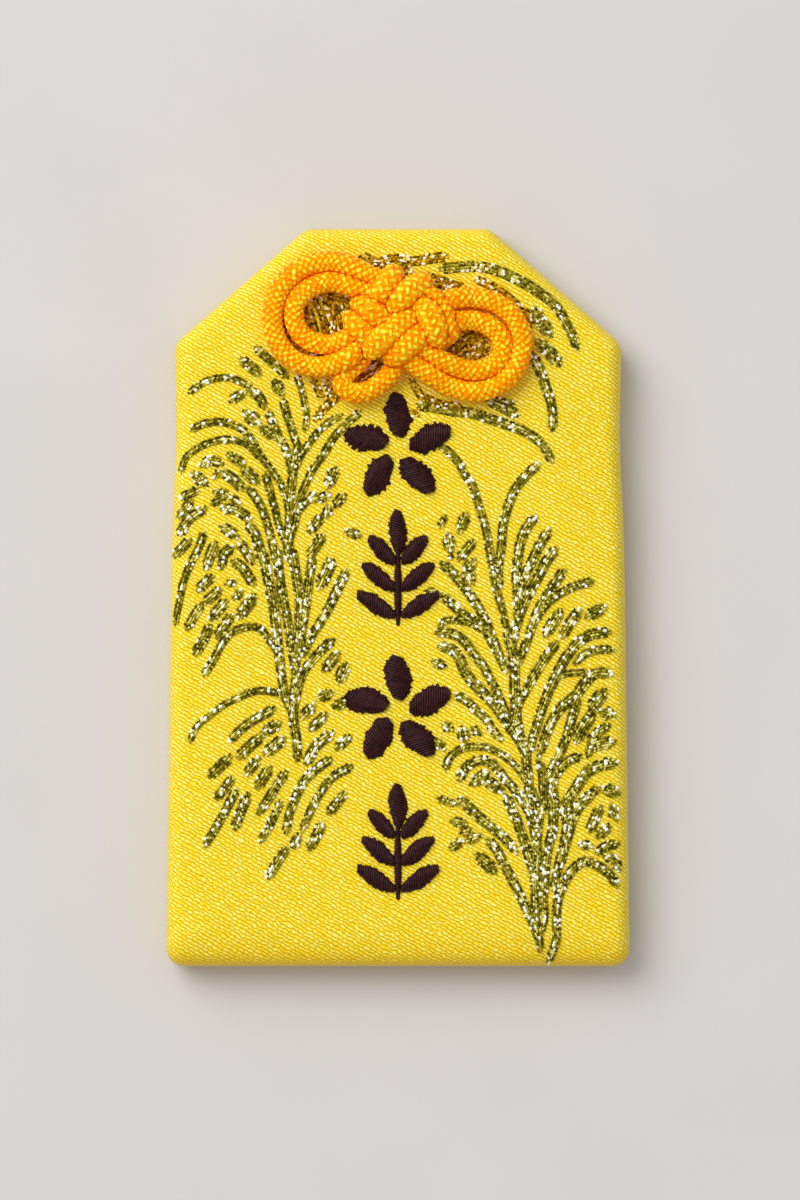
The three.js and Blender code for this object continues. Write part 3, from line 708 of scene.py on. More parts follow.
RIGHT_SHEAF = strokes("""
    1.02 4.6,16.3 5.7,15.4 6.6,14.3 7.2,13.1 8,12 8.4,10.7 8.9,9.1 9.4,7.4 9.7,5.7 10,4 10.3,2.3 10.6,0.6
        11.1,-1 11.5,-2.9 11.8,-4.4 12.1,-6.1
    1.08 14.9,14.2 13.7,13.1 12.6,11.7 12,10.4 11.5,8.8 11.2,7.3 11.1,5.7 10.9,4.2 10.8,2.7 10.9,1.3
    1.18 14.6,8.6 13.8,7.6 13.2,6.2 12.9,4.7 12.7,3 12.7,1.3 12.8,-0.4 12.8,-2.1
    1.27 16.1,7.1 15.2,5.7 14.5,4.2 13.8,2.8 13.2,1.4 12.9,-0.1
    1.24 16.8,5.1 15.7,3.6 14.9,2 14.1,0.6 13.5,-0.7 12.9,-2.3 12.5,-3.8 12.2,-5.4
    1.18 17.7,2.8 16.8,1.6 16,0.3 15.2,-1 14.6,-2.4 14.1,-3.8 13.5,-5.5 12.8,-7.1
    1.08 20.7,1.7 19.1,1.3 17.5,0.5 16.3,-0.4 15.4,-1.4 14.9,-2.2
    1.18 4.8,3.6 5.8,2.7 6.9,1.4 7.8,0.2 8.6,-1 9.2,-2.1 9.8,-3.5 10.4,-5 11.2,-6.9
    1.14 4.8,0.2 5.8,-0.7 6.9,-1.7 8,-2.4 9.1,-3.2 9.8,-4.3 10.6,-5.8 11.5,-7.7
    0.9 4.5,-2.8 5.4,-2.4 6.6,-2.5 7.8,-2.8 8.9,-3.4
    1.14 4.2,-3.7 5.4,-3.8 6.4,-4.1 7.4,-5 8.1,-6.1 9.1,-7.3 9.8,-8.6 10.6,-10.1 11.2,-11.5 11.8,-12.7
    1.3 4.6,-5.2 5.7,-5.5 6.6,-6.6 7.2,-8 8.1,-9.2 9.2,-10.3 10.1,-11.3 11.1,-12.6 12,-14 12.9,-15.2
        13.6,-16.6
    1.14 6.4,-10.5 7.5,-11.2 8.4,-12.1 9.4,-13 10.1,-14.1 10.9,-15.1
    1.24 11.7,-3.8 12.1,-5.3 12.4,-6.9 12.5,-8.6 12.5,-10.1 12.6,-11.8 12.8,-13.3 13.1,-14.9 13.7,-16.6
    1.24 16.9,-4.9 15.8,-6.4 14.9,-7.8 14.1,-9.2 13.5,-10.3 12.9,-11.5 12.6,-12.9
    1.24 22.5,-3.7 20.6,-4 19.2,-4.9 18.1,-6.3 17.2,-7.8 16.5,-9.3 15.8,-10.9 15.2,-12.6 14.8,-14 14.4,-15.2
        14.1,-16.4
    1.08 22.9,-5.6 21.4,-5.6 20,-6.1 19.1,-6.9
    1.3 22.7,-8.1 21.2,-8.1 20,-9.2 19.1,-10.4 17.8,-11.5 16.8,-12.7 16.1,-14.1 15.7,-15.2 15.2,-16.7
    0.71 20.2,-8 18.5,-8.1 16.9,-8.4
    1.18 19.2,-10.9 18.8,-12.4 18.3,-14.1 17.8,-15.7 17.2,-17 16.6,-18.1 16.1,-19
    1.39 23.2,-17.7 21.7,-18 20.3,-18.7 19.5,-19.8 18.8,-20.9 18,-22 17.5,-23.4
    1.18 19.4,-17.1 18.3,-17.5 17.4,-18.4 16.6,-19.7 16.4,-21.2
    1.18 21.4,-20.5 20.5,-21.2 19.5,-22.1 18.7,-23.1 18.1,-24.4
    0.99 5.1,-18.3 5.5,-17.2 6.6,-16.3 8,-16 9.5,-16.1 10.9,-16.7 12,-17.5 12.9,-18.4 13.6,-19.5
    1.18 6.6,-19.4 7.2,-18.3 8.4,-17.5 9.5,-17.5 10.6,-18.3 11.5,-19.5 12.5,-20.6 13.2,-21.7 14,-23
    1.24 13.7,-16.6 13.8,-18.1 14,-19.7 14,-21.2 14.1,-22.9
    1.14 15.1,-17.7 15.5,-18.9 15.5,-20.4 15.6,-22.8
    1.14 16.5,-19.2 16.6,-20.9 16.9,-22.4
    1.33 6.8,-21.7 7.8,-22.7 9.1,-23.9 10.4,-24.9 11.4,-25.8 12.5,-27.1
    1.18 9.8,-26.1 10.6,-27.1 11.3,-28.5 12,-29.8 12.9,-31.6 13.8,-33.5 14.5,-35.1 15.1,-36.7 15.2,-37.7
    1.18 11.7,-21.5 12.6,-23.6 13.3,-25.5 13.9,-27.4 14.5,-29.5 14.7,-31.3 14.7,-32.9 14.8,-34.6
    1.12 13.4,-21 14.2,-23.3 14.7,-25.5 14.9,-27.3 14.8,-29.2 14.9,-31
    1.12 14.9,-20.8 15.2,-22.6 15,-25.1 14.9,-27.3
    1.12 16.6,-20.8 16.6,-22.9 16.6,-24.8 16.1,-26.8 15.8,-28.9 15.7,-30.8 15.6,-32.4 15.7,-34.1 15.4,-35.7
    1.18 18.5,-20.8 18.2,-22.6 18.1,-24.5 17.8,-26.5 17.3,-28.3 17,-29.8 16.7,-31.1
    1.18 20.7,-21.2 19.5,-22.4 18.8,-23.6 18.4,-25.1 17.9,-26.8 17.5,-28.6
    1.12 23.4,-30.8 22.8,-29.8 21.6,-28.9 20.1,-28.3 18.9,-29 17.9,-30.4 17.3,-31.8 17,-33.5 17,-34.9 17,-36.6
        16.6,-38 16.2,-39
    1.27 7.2,8.7 6.6,7.3
    1.33 5.3,6.6 5.6,5.2
    0.62 5.6,4.5 5.7,4.3
    1.08 8,5.9 6.6,4.3
    1.33 8,3.8 7.4,3.1 7.9,1.9
    1.02 3.1,0.6 3.9,0.6
    0.77 4.5,7.7 5,8.6
    1.27 17.3,-1.6 15.9,-3.8
    1.18 19.4,-1.5 18.5,-2.6 17.7,-4
    1.33 20.5,-1.9 21.9,-1.1
    1.02 3.9,-6.9 4.9,-7.3
    1.48 22,-10.2 20.8,-11.7
    1.55 22.1,-12.3 22.8,-12.5
    1.33 20.8,-12.6 19.8,-14 19.2,-15.2
    1.08 22.5,-13.8 21.2,-14.6 20.6,-15.3
    1.33 22.9,-15.5 21.7,-15.7 20.6,-16.1
    0.77 20.4,-16.9 20.6,-16.5
    1.33 22.2,-20.6 23.3,-20.7
    1.33 8.1,-19.8 9.4,-18.9
    1.36 9.6,-19.7 11,-20.6
    1.33 5.1,-13.7 5.5,-14
    1.39 6.9,-14.3 7.1,-15.2
    1.08 8,-14.1 8.6,-14.5
    1.08 4.2,-15.4 4.7,-16.1
    0.89 4.5,-21.6 6,-22.1
    1.03 5.9,-24 7.1,-24.2
    0.89 6.8,-25.2 7.6,-24.9
    1.18 7.4,-26 8.6,-25.6
    1.09 5.8,-26.8 6.7,-26.2
    1.36 8.6,-27.8 9.5,-28.5 10.2,-29.3
    1.21 21.6,-22.6 20.6,-24.9
    1.36 23,-22.6 23.3,-23.5
    1.21 22.5,-24.6 21.6,-25.5
    1.09 19.7,-26.5 20.5,-26.6
    1.03 23.5,-26.4 22.3,-26.7 21.5,-27.3
    1.18 22.4,-27.8 23.2,-28.2 23.6,-29
    1.12 22.5,-20.8 23.5,-21
""")
TOP_SPRAYS = strokes("""
    1.18 -3.8,36.6 -2,35.7 -0.9,35
    1.29 -2.2,35.9 -0.5,36.4 1.6,36.1 3.6,36.4 5,36.6
    1.11 -0.9,35.7 1.2,35.1
    1.25 2.8,34.5 4.1,34.2 5.5,33.7 6.9,33.3
    1.11 3.7,33.7 5.3,33.2
    1.32 4.8,35.3 6.9,35.5 8.9,35.5 10.9,35 12.5,34.3 14.2,33.4 15.8,32.3 17.1,31.1 18,29.5 18.7,28.2 19.1,27
    1.04 8.5,34.1 10.1,33.4 11.6,32.5 12.8,31.4 13.9,30.4 14.3,29.4
    1.47 14.6,30.8 15.3,29.7 16.2,28.4
    1.43 15.2,27.3 16.2,26.4 17.1,25.2
    1.32 14.4,26.1 15.2,24.5 15.8,22.7 16.4,20.9 16.6,19.5 16.6,18.3
    1.25 2.3,20.6 3.9,20.4 5.9,20 7.8,19.8 9.8,19.2 11.6,18.6 13.4,17.9 14.6,17.2 15.7,16.1 16.4,14.8
    1.18 9.8,21.1 11.2,20.4 12.6,19.7
    0.71 10.3,21.3 12.3,20.8
    0.93 1.4,23.2 2.1,22.2 2.8,21
    0.93 2.7,21.6 4.8,20.8 6.6,20.6
    1.07 1.6,19.9 2,19.7
    1.14 5.4,25.9 6.5,27 7.7,27.9
    1.14 7.3,28.4 8.7,28.2 9.9,27.7
    1.14 6.8,25.8 8.4,26.1 9.6,26.6
    1.07 7.7,26.8 8.9,27.3
    1.08 -8.5,32.4 -7.5,30.4 -7,28.3
    1.08 -9.7,30.9 -8.9,28.3
    1.08 -6.8,32.4 -6,30.9 -5.6,29
    1 -9.2,32.4 -8.1,30.2 -7.8,27.6
    1 -7.7,32.6 -6.7,30.7 -6.3,28.4
    1 -6,32.3 -5.1,30.6 -4.7,29.2
    1 -10.6,31.2 -10.2,29.6 -9.7,28
    1.1 -12.4,29.8 -11.5,27.8 -9.8,26.2 -7.6,25.5
    1.08 -4.5,23.6 -2.1,25.1
    1 -4.3,24.5 -3.2,25.9
    1 -3.6,25 -2.4,26.1
    1 -3.6,23.4 -1.5,24.7
    0.86 -9.1,23.3 -8.7,22.5 -8.2,21.4
    0.86 -7.8,23.2 -7.4,22.4 -7.2,21.5
    0.97 -6.4,21.6 -7.4,20.8 -8.3,19.9 -8.8,19.2
""")

# %% Lay the strokes on the face
FLOAT_WIDTH, FLOAT_SPAN, FLOAT_PLUMP = 0.29, (0.22, 0.34), (0.8, 1.05)
FLOAT_FULL, FLOAT_TIP, FLOAT_LAP = 0.55, 0.6, 0.85
FLOAT_SLANT, SLANT_SPREAD = 0.8, (-0.5, 1)
SHORTEST, OVERRUN = 0.12, 0.05
STROKE_SHARE, GRAIN_SHARE, GRAIN_LENGTH = 0.98, 1.05, 4
STROKE_END, STROKE_POINT, POINT_POWER = 0.42, 0.7, 1.5
STROKE_RISE, RISE_SPREAD, PRESSED_RISE = 0.16, (-0.04, 0.05), 0.03
STEM_SHARE, STEM_RUN = 0.78, 9
TONES, GLINT, GLINT_LONGER, GLINT_PLUMPER = 5, 4, 1.3, 0.4
# Edge rows get more of the dark tone, a painted shade along a stroke's edges, and fewer painted glints.
EDGE_ODDS, MIDDLE_ODDS = (30, 36, 21, 9, 4), (12, 27, 29, 22, 10)
# Painted shadow and bounce light: strokes within this reach of the knot take browner tones, for the knot's
# shadow and the cord's orange bounce light.
KNOT_BOUNCE_REACH = 12.5
SPRAY_PRESS = (13, 16)

def stroke_line(points, grow):
    """A stroke's smooth line with both ends lengthened, and its sideways direction."""
    line, _ = cord_line([(x, y, 0) for x, y in points])
    line = line[:, :2]
    first, last = line[0] - line[1], line[-1] - line[-2]
    start = line[0] + first / np.linalg.norm(first) * grow
    end = line[-1] + last / np.linalg.norm(last) * grow
    line = np.vstack([start, line, end])
    ahead = np.gradient(line, axis=0)
    ahead /= np.linalg.norm(ahead, axis=1)[:, None]
    return line, distances(line), np.stack([-ahead[:, 1], ahead[:, 0]], axis=1)

def lay_floats(curve, width, points, chance, foot):
    """Short slanted floats of thread, side by side, that fill a round-ended stroke with a slimmer foot."""
    line, along, aside = stroke_line(points, STROKE_END * width)
    rows = max(2, round(width / FLOAT_WIDTH))
    foot_first = line[0, 1] < line[-1, 1]
    # Painted shadow and bounce light: strokes near the knot use the second, browner set of tones.
    near_knot = np.linalg.norm(line[len(line) // 2] - KNOT_MIDDLE[:2]) < KNOT_BOUNCE_REACH
    for row in range(rows):
        offset = ((row + 0.5) / rows - 0.5) * width
        dome = math.sqrt(1 - (2 * offset / width) ** 2)
        place = STROKE_POINT * width * abs(2 * offset / width) ** POINT_POWER
        end = along[-1] - place
        odds = EDGE_ODDS if row in (0, rows - 1) else MIDDLE_ODDS
        while end - place > SHORTEST:
            look = chance.choices(range(TONES), odds)[0]
            longer = GLINT_LONGER if look == GLINT else 1
            reach = min(chance.uniform(*FLOAT_SPAN) * longer, end - place + OVERRUN)
            rise = STROKE_RISE * dome + chance.uniform(*RISE_SPREAD)
            slant = FLOAT_SLANT * chance.uniform(*SLANT_SPREAD)
            float_points = []
            for share in (0, 0.5, 1):
                here = place + reach * share
                up_stem = here if foot_first else along[-1] - here
                slim = min(1, foot + (1 - foot) * up_stem / STEM_RUN)
                over = slim * (offset + (share - 0.5) * reach * slant)
                x, y = [np.interp(here, along, line[:, k] + aside[:, k] * over) * MM for k in range(2)]
                height = rise - pressed(x, y, *SPRAY_PRESS) * (rise - PRESSED_RISE)
                float_points.append((x, y, face_height(x, y) + height * MM))
            plump = chance.uniform(*FLOAT_PLUMP) + GLINT_PLUMPER * (look == GLINT)
            radius = (FLOAT_TIP * plump, plump, FLOAT_TIP * plump)
            add_yarn(curve, np.array(float_points), radius, look + TONES * near_knot)
            place += reach * FLOAT_LAP

def laid_thread(name, laid, seed):
    chance = random.Random(seed)
    curve = new_curve(name, FLOAT_FULL * FLOAT_WIDTH, resolution=0)
    for look in lame_looks:
        curve.materials.append(look.material)
    for width, points in laid:
        short = math.dist(points[0], points[-1]) < GRAIN_LENGTH
        share, foot = (GRAIN_SHARE, 1) if short else (STROKE_SHARE, STEM_SHARE)
        lay_floats(curve, width * share, points, chance, foot)
    piece = curve_mesh(name, curve)
    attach(piece, "pouch")
    print(f"{name}: {len(laid)} strokes, {len(curve.splines)} floats, {len(piece.data.polygons)} faces")
    return piece

# %% Lame finishes
def lame_finish(name, dark, pale, rough, gloss):
    f = Finish(name, Roughness=rough, Specular_IOR_Level=0.35, Specular_Tint=(*gloss, 1))
    twist = f.noise(f.spot(), 4200, 1)
    f.colour(f.ramp(twist, (0.35, dark), (0.65, pale)))
    f.bump(twist, 0.05, 0.5)
    return f

# In each set of five tones the first is a painted shade, the next two are the thread's own colours, the
# fourth is a painted highlight and the last a painted glint.
GREEN_GLOSS, KNOT_BOUNCE_GLOSS, GLINT_GLOSS = (1, 0.95, 0.2), (1, 0.8, 0.08), (1, 1, 0.9)
lame_looks = [lame_finish(*look) for look in (
    ("green_shade", (0.025, 0.018, 0.0003), (0.075, 0.056, 0.001), 0.35, GREEN_GLOSS),
    ("green_olive", (0.14, 0.125, 0.004), (0.26, 0.215, 0.009), 0.32, GREEN_GLOSS),
    ("green_gold", (0.36, 0.3, 0.02), (0.54, 0.44, 0.04), 0.3, GREEN_GLOSS),
    ("green_pale", (0.7, 0.63, 0.14), (0.98, 0.88, 0.26), 0.28, GREEN_GLOSS),
    ("green_glint", (1, 1, 0.7), (1, 1, 0.92), 0.2, GLINT_GLOSS),
    # The second set, used near the knot, is browner and warmer: a painted shadow of the knot and painted
    # orange bounce light from the cord.
    ("knot_bounce_shade", (0.05, 0.016, 0.0002), (0.13, 0.045, 0.0005), 0.35, KNOT_BOUNCE_GLOSS),
    ("knot_bounce_brown", (0.25, 0.11, 0.0008), (0.38, 0.18, 0.002), 0.32, KNOT_BOUNCE_GLOSS),
    ("knot_bounce_amber", (0.5, 0.27, 0.004), (0.68, 0.39, 0.008), 0.3, KNOT_BOUNCE_GLOSS),
    ("knot_bounce_pale", (0.8, 0.54, 0.03), (1, 0.73, 0.06), 0.28, KNOT_BOUNCE_GLOSS),
    ("knot_bounce_glint", (1, 0.98, 0.55), (1, 1, 0.8), 0.2, GLINT_GLOSS))]

# %% The two sheaves and the sprays round the knot
laid_thread("left_rice_sheaf", LEFT_SHEAF, 3)
laid_thread("right_rice_sheaf", RIGHT_SHEAF, 5)
laid_thread("top_rice_sprays", TOP_SPRAYS, 7)

# %% [markdown]
# ## Satin-stitched ornaments
# A column of four dark brown ornaments runs down the middle, worked in padded satin stitch: thread
# after thread laid across each leaf. A bump could fake the ridges, but not the toothed edge, so each
# thread is a thin tube that rises over the padding and goes into the cloth at both ends.

# %% Satin stitch
STITCH_PITCH, STITCH_RADIUS, STITCH_PLUMP = 0.27, 0.165, (0.85, 1.15)
STITCH_PLACES, STITCH_ENDS = (-1, -0.72, -0.3, 0.3, 0.72, 1), (0.83, 1.08)
PADDING, PADDED_HALF, SUNK = 0.5, 0.5, 0.06
SATIN_PRESS, PRESSED_SHARE = (8, 13), 0.8
LEAF_START, LEAF_RUN, LEAF_STOP, LEAF_BLUNT = 0.06, 0.9, 0.97, 0.75

def satin_leaf(curve, base, tip, width, slant, chance):
    """Threads across a leaf from base to tip, one beside another."""
    axis = tip - base
    length = np.linalg.norm(axis)
    axis /= length
    across = np.array([-axis[1], axis[0]])
    lean = across * math.cos(slant) + axis * math.sin(slant)
    for k in range(int(length / STITCH_PITCH)):
        share = (k + 0.5) * STITCH_PITCH / length
        half = width / 2 * math.sin(math.pi * min(LEAF_STOP, LEAF_START + LEAF_RUN * share)) ** LEAF_BLUNT
        middle = base + axis * length * share
        ends = half * chance.uniform(*STITCH_ENDS)
        points = []
        for place in STITCH_PLACES:
            x, y = (middle + lean * ends * place) * MM
            padding = PADDING * (1 - PRESSED_SHARE * pressed(x, y, *SATIN_PRESS))
            rise = padding * math.sqrt(max(0, 1 - place * place)) * min(1, half / PADDED_HALF) - SUNK
            points.append((x, y, face_height(x, y) + rise * MM))
        add_yarn(curve, np.array(points), np.full(len(points), chance.uniform(*STITCH_PLUMP)))

# %% Sprigs and blossoms
COLUMN = (16.0, 3.2, -12.2, -26.2)
PAIRS, PAIR_FOOT, PAIR_RUN = 3, -5.6, 8.6
PAIR_SPREAD, SPREAD_LESS = 58, 6
LEAF_SIZE, SIZE_LESS, LEAF_WIDTH, LEAF_SLANT = 5.4, 0.5, 2.0, 0.45
LEAF_ASIDE, LEAF_UP = 0.35, 0.5
TOP_LEAF, STEM = (1.6, 6.3, 2.1, 0.4), (-6.2, 2.0, 0.8, 0.5)
PETALS, PETAL_ROOT, PETAL_TIP, PETAL_WIDTH, PETAL_SLANT = 5, 1.3, 6.0, 3.2, 0.35

def sprig(centre):
    """Base, tip, width and slant of leaves in pairs up a stem, with one leaf on top."""
    leaves = []
    for k in range(PAIRS):
        root = centre + (0, PAIR_FOOT + k * PAIR_RUN / PAIRS)
        size = LEAF_SIZE - SIZE_LESS * k
        for hand in (-1, 1):
            heading = math.radians(90 - hand * (PAIR_SPREAD - SPREAD_LESS * k))
            tip = root + (math.cos(heading) * size, math.sin(heading) * size)
            leaves.append((root + (hand * LEAF_ASIDE, LEAF_UP), tip, LEAF_WIDTH, hand * LEAF_SLANT))
    for low, high, width, slant in (TOP_LEAF, STEM):
        leaves.append((centre + (0, low), centre + (0, high), width, slant))
    return leaves

def blossom(centre):
    """Base, tip, width and slant of petals round an open middle."""
    leaves = []
    for k in range(PETALS):
        heading = math.pi / 2 + 2 * math.pi * k / PETALS
        way = np.array([math.cos(heading), math.sin(heading)])
        leaves.append((centre + way * PETAL_ROOT, centre + way * PETAL_TIP, PETAL_WIDTH, PETAL_SLANT))
    return leaves

stitch_chance = random.Random(11)
ornament_curve = new_curve("satin_ornaments", STITCH_RADIUS, resolution=0)
for k, up in enumerate(COLUMN):
    ornament = sprig if k % 2 else blossom
    for base, tip, width, slant in ornament(np.array([0, up])):
        satin_leaf(ornament_curve, base, tip, width, slant, stitch_chance)
ornaments = curve_mesh("satin_ornaments", ornament_curve)
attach(ornaments, "pouch")
print(f"ornaments: {len(ornaments.data.polygons)} faces")

# %% [markdown]
# ### Brocade
# The cloth is a satin twill: small plump floats of thread in ribs that fall to the right, each rib half a
# float further on. A float is one cell of a skewed grid. Its own random number makes it a little paler,
# darker or shorter than the next, as real thread does, and a slow noise bends the ribs. The tops of the
# floats are painted paler, a painted highlight, and the gaps between them darker, a painted shade. The
# rolled foot is painted deeper in colour, a painted shade.

# %% Brocade finish
RIB_FALL = math.radians(30)
RIB_STEP, FLOAT_STEP, RIB_LAG, RIB_STRAY = 0.38, 0.66, 0.47, 0.62
# Painted shade: below this height the rolled foot is tinted deeper, over this run.
FOOT_SHADE, FOOT_SHADE_RUN = -36.5, 3.5

def brocade_finish(name):
    f = Finish(name, Roughness=0.36, Specular_IOR_Level=0.3, Specular_Tint=(1, 0.88, 0.25, 1))
    place = f.node("UVMap", uv_map="cloth").outputs[0]
    turn = {"Vector": place, "Rotation": (0, 0, RIB_FALL), "Scale": (UV_SIDE, UV_SIDE, UV_SIDE)}
    turned = f.node("Mapping", turn).outputs[0]
    stray = f.node("TexNoise", {"Vector": turned, "Scale": 1.3, "Detail": 4}).outputs["Color"]
    pushed = f.node("VectorMath", {0: stray, 1: (0.5, 0.5, 0.5)}, operation="SUBTRACT").outputs[0]
    pushed = f.node("VectorMath", {0: pushed, "Scale": RIB_STRAY}, operation="SCALE").outputs[0]
    pushed = f.node("VectorMath", {0: turned, 1: pushed}, operation="ADD").outputs[0]
    axes = f.node("SeparateXYZ", {0: pushed})
    across = f.calc("DIVIDE", axes.outputs[1], RIB_STEP)
    rib_number = f.calc("FLOOR", across)
    onward = f.calc("MULTIPLY_ADD", rib_number, RIB_LAG, f.calc("DIVIDE", axes.outputs[0], FLOAT_STEP))
    start = f.node("TexWhiteNoise", {"W": rib_number}, noise_dimensions="1D").outputs["Value"]
    onward = f.calc("MULTIPLY_ADD", start, 0.5, onward)
    cell = f.node("CombineXYZ", {0: rib_number, 1: f.calc("FLOOR", onward)}).outputs[0]
    own = f.node("TexWhiteNoise", {"Vector": cell}, noise_dimensions="2D").outputs["Value"]
    rib = f.calc("SINE", f.calc("MULTIPLY", f.calc("FRACT", across), math.pi))
    grain = f.calc("SINE", f.calc("MULTIPLY", f.calc("FRACT", onward), math.pi))
    grain = f.calc("MULTIPLY_ADD", f.calc("POWER", grain, 0.5), 0.55, 0.45)
    height = f.calc("MULTIPLY", f.calc("POWER", rib, 0.65), grain)
    height = f.calc("MULTIPLY", height, f.calc("MULTIPLY_ADD", own, 0.3, 0.76))
    fibre = f.noise(turned, 7, 2)
    tone = f.calc("ADD", height, f.calc("MULTIPLY_ADD", fibre, 0.5, -0.25))
    # Painted highlight and shade: the float tops are painted pale and the gaps between floats dark.
    thread = f.ramp(tone, (0.05, (0.6, 0.31, 0.001)), (0.33, (0.93, 0.6, 0.006)), (0.66, (1, 0.77, 0.022)),
                    (1, (1, 0.95, 0.25)))
    # Painted shade on the rolled foot: a deeper tint towards the bottom edge.
    up = f.node("SeparateXYZ", {0: place}).outputs[1]
    down = f.calc("ADD", f.calc("MULTIPLY", up, -UV_SIDE / FOOT_SHADE_RUN), FOOT_SHADE / FOOT_SHADE_RUN)
    f.colour(f.times(thread, f.ramp(down, (0, (1, 1, 1)), (1, (1, 0.88, 0.3)))))
    f.bump(height, 0.12, 0.8)
    return f

brocade = brocade_finish("golden_brocade")
wear(front_cloth, brocade)
wear(back_cloth, brocade)

# %% [markdown]
# ### Silk cord
# The yarns of both hands are orange, and a painted highlight makes them yellow and palest on their
# crests and upper sides. The core between them stays orange, and both are painted red and dark in the
# creases as painted shade. The two attributes drive that. A faint painted orange glow stands for light
# that comes back through the cord. Fine threads wind along each yarn on its own UV map. The gloss is
# tinted, since dyed silk gives back little blue.

# %% Cord finish
THREADS_U, THREADS_V = 5, 45

def cord_finish(name, *stops):
    # Painted glow: the faint orange emission stands for light that comes back through the cord; the cord is
    # no lamp.
    f = Finish(name, Roughness=0.38, Specular_IOR_Level=0.8, Specular_Tint=(1, 0.8, 0.04, 1),
               Emission_Color=(1, 0.16, 0, 1), Emission_Strength=0.1)
    axes = f.node("SeparateXYZ", {0: f.node("UVMap", uv_map="UVMap").outputs[0]})
    strands = f.calc("MULTIPLY", axes.outputs[1], 2 * math.pi * THREADS_V)
    strands = f.calc("MULTIPLY_ADD", axes.outputs[0], 2 * math.pi * THREADS_U, strands)
    thread = f.calc("MULTIPLY_ADD", f.calc("SINE", strands), 0.5, 0.5)
    mottle = f.noise(f.spot(), 2600, 2)
    # Painted highlight: the yarns are painted paler on their crests and upper sides.
    crest_highlight = f.node("Attribute", attribute_name="crest_highlight").outputs["Fac"]
    tone = f.calc("ADD", crest_highlight, f.calc("MULTIPLY_ADD", mottle, 1.5, -0.75))
    tone = f.calc("ADD", tone, f.calc("MULTIPLY_ADD", thread, 0.1, -0.05))
    # Painted shade: the creases are painted red and dark.
    crease_shade = f.node("Attribute", attribute_name="crease_shade").outputs["Fac"]
    painted_shade = f.ramp(crease_shade, (0, (1, 1, 1)), (0.4, (1, 0.74, 0.4)), (0.72, (0.78, 0.27, 0)),
                  (0.92, (0.2, 0.015, 0)))
    f.colour(f.times(f.ramp(tone, *stops), painted_shade))
    f.bump(thread, 0.03, 0.5)
    return f

# The stops run from the yarn's own orange up to a painted yellow highlight on the crests.
yarn_painted_highlight = cord_finish("yarn_painted_highlight", (0, (1, 0.25, 0)), (0.4, (1, 0.43, 0.001)),
                          (0.74, (1, 0.74, 0.009)), (1, (1, 0.98, 0.09)))
orange_yarn = cord_finish("orange_yarn", (0, (1, 0.22, 0)), (0.35, (1, 0.31, 0)),
                          (0.7, (1, 0.46, 0.002)), (1, (1, 0.62, 0.006)))
for piece in (*loops.values(), under_passes, *tails.values()):
    piece.data.materials[YARN_LOOK] = yarn_painted_highlight.material
    piece.data.materials[CORE_LOOK] = orange_yarn.material

# %% Satin finish
def satin_finish(name):
    f = Finish(name, Roughness=0.45, Specular_IOR_Level=0.22)
    streak = f.noise(f.spot(), 2500, 2)
    f.colour(f.ramp(streak, (0.3, (0.014, 0.0012, 0.002)), (0.7, (0.052, 0.009, 0.0095))))
    f.bump(streak, 0.02, 0.4)
    return f

wear(ornaments, satin_finish("brown_satin"))

# %% Finishes inside the pouch
def fibre_finish(name, dark, pale, scale, rough, stretch=(1, 1, 1)):
    f = Finish(name, Roughness=rough)
    fibre = f.noise(f.node("Mapping", {"Vector": f.spot(), "Scale": stretch}).outputs[0], scale, 5)
    f.colour(f.ramp(fibre, (0.3, dark), (0.7, pale)))
    f.bump(fibre, 0.05, 0.5)
    return f

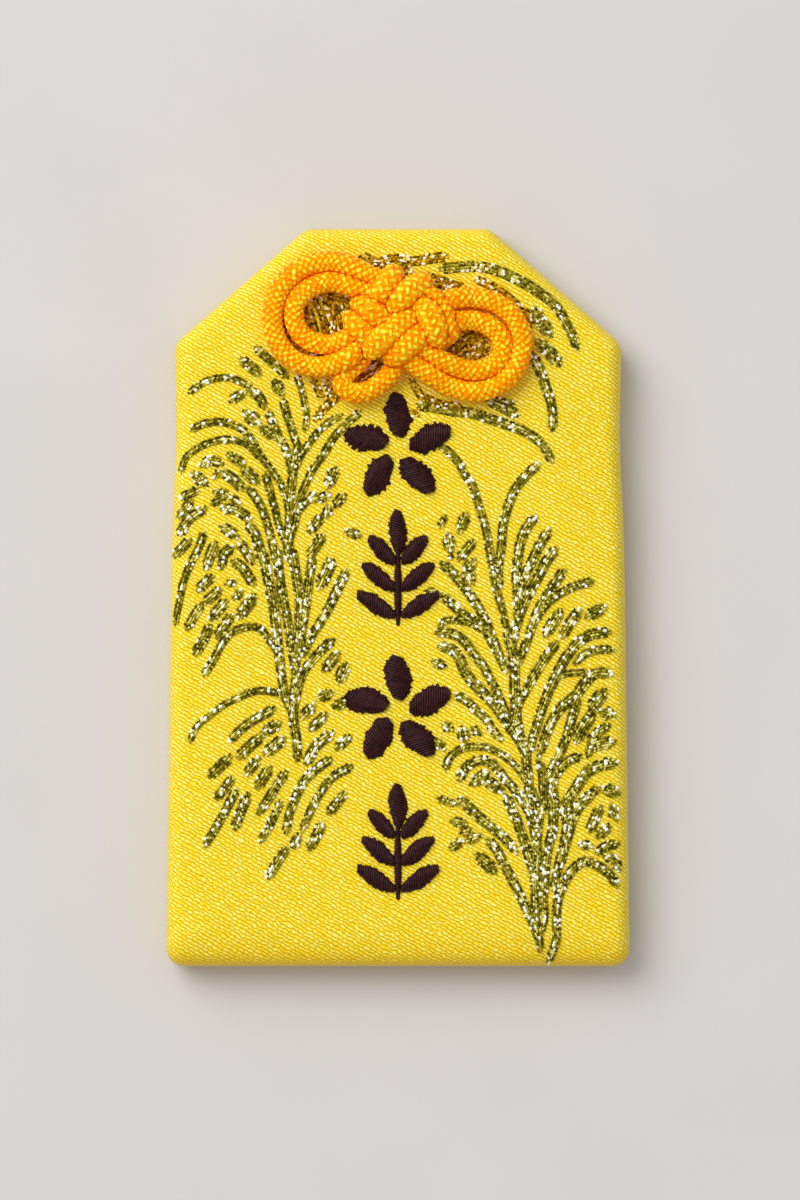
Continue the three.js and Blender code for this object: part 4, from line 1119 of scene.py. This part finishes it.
INNER = {
    "lining": ("cream_lining", (0.8, 0.74, 0.58), (0.92, 0.88, 0.76), 1500, 0.7, (4, 1, 1)),
    "board": ("pasteboard", (0.4, 0.32, 0.22), (0.58, 0.49, 0.36), 1200, 0.85),
    "padding": ("cotton_wadding", (0.86, 0.85, 0.8), (0.96, 0.95, 0.92), 700, 0.95),
    "paper": ("handmade_paper", (0.85, 0.82, 0.73), (0.94, 0.92, 0.86), 500, 0.8, (1, 3, 1)),
    "wood": ("planed_softwood", (0.52, 0.36, 0.18), (0.74, 0.56, 0.33), 300, 0.55, (6, 0.4, 6)),
    "thread": ("yellow_thread", (0.66, 0.42, 0.01), (0.86, 0.62, 0.04), 3000, 0.5, (1, 1, 4)),
    "cord": ("inner_cord", (0.85, 0.24, 0.001), (1, 0.44, 0.006), 1800, 0.45, (1, 1, 3)),
}
inner_looks = {slot: fibre_finish(*look).material for slot, look in INNER.items()}
slot_of = {row["node"]: row["material_slot"] for row in frame["record"]["subparts"]}
for name, node in frame["nodes"].items():
    if slot_of[name] in inner_looks:
        for slot in node.material_slots:
            slot.material = inner_looks[slot_of[name]]

# %% [markdown]
# ## Floor and light
# A pale warm-grey table, a broad soft lamp at the upper left for the shadow to the lower right, and an
# even sky. Together they light a flat white card to about white, so a colour renders as it is written.

# %% Floor
FLOOR_HALF = 1.5
bm = bmesh.new()
bmesh.ops.create_grid(bm, x_segments=1, y_segments=1, size=FLOOR_HALF)
floor_mesh = bpy.data.meshes.new("floor")
bm.to_mesh(floor_mesh)
bm.free()
floor = link("floor", floor_mesh)
table = Finish("pale_table", Roughness=0.8)
cloud = table.noise(table.spot(), 60, 3)
table.colour(table.ramp(cloud, (0.3, (0.652, 0.623, 0.607)), (0.7, (0.668, 0.638, 0.622))))
wear(floor, table)

# %% Lamp and sky
LAMP_FROM = Vector((-0.52, 0.54, 0.8)).normalized()
LAMP_REACH, LAMP_SIZE = 1.6, 1.15
LAMP_SHARE, SKY_SHARE = 0.6, 0.54
key = bpy.data.lights.new("window", "AREA")
key.shape = "SQUARE"
key.size = LAMP_SIZE
key.energy = LAMP_SHARE * math.pi ** 2 * LAMP_REACH ** 2 / LAMP_FROM.z
window = link("window", key)
window.location = LAMP_FROM * LAMP_REACH
window.rotation_euler = LAMP_FROM.to_track_quat("Z", "Y").to_euler()
sky = bpy.data.worlds.new("sky")
sky.use_nodes = True
sky.node_tree.nodes["Background"].inputs["Color"].default_value = (1, 1, 1, 1)
sky.node_tree.nodes["Background"].inputs["Strength"].default_value = SKY_SHARE
scene.world = sky
scene.view_settings.view_transform = "Standard"
print(f"lamp {key.energy:.2f} W")
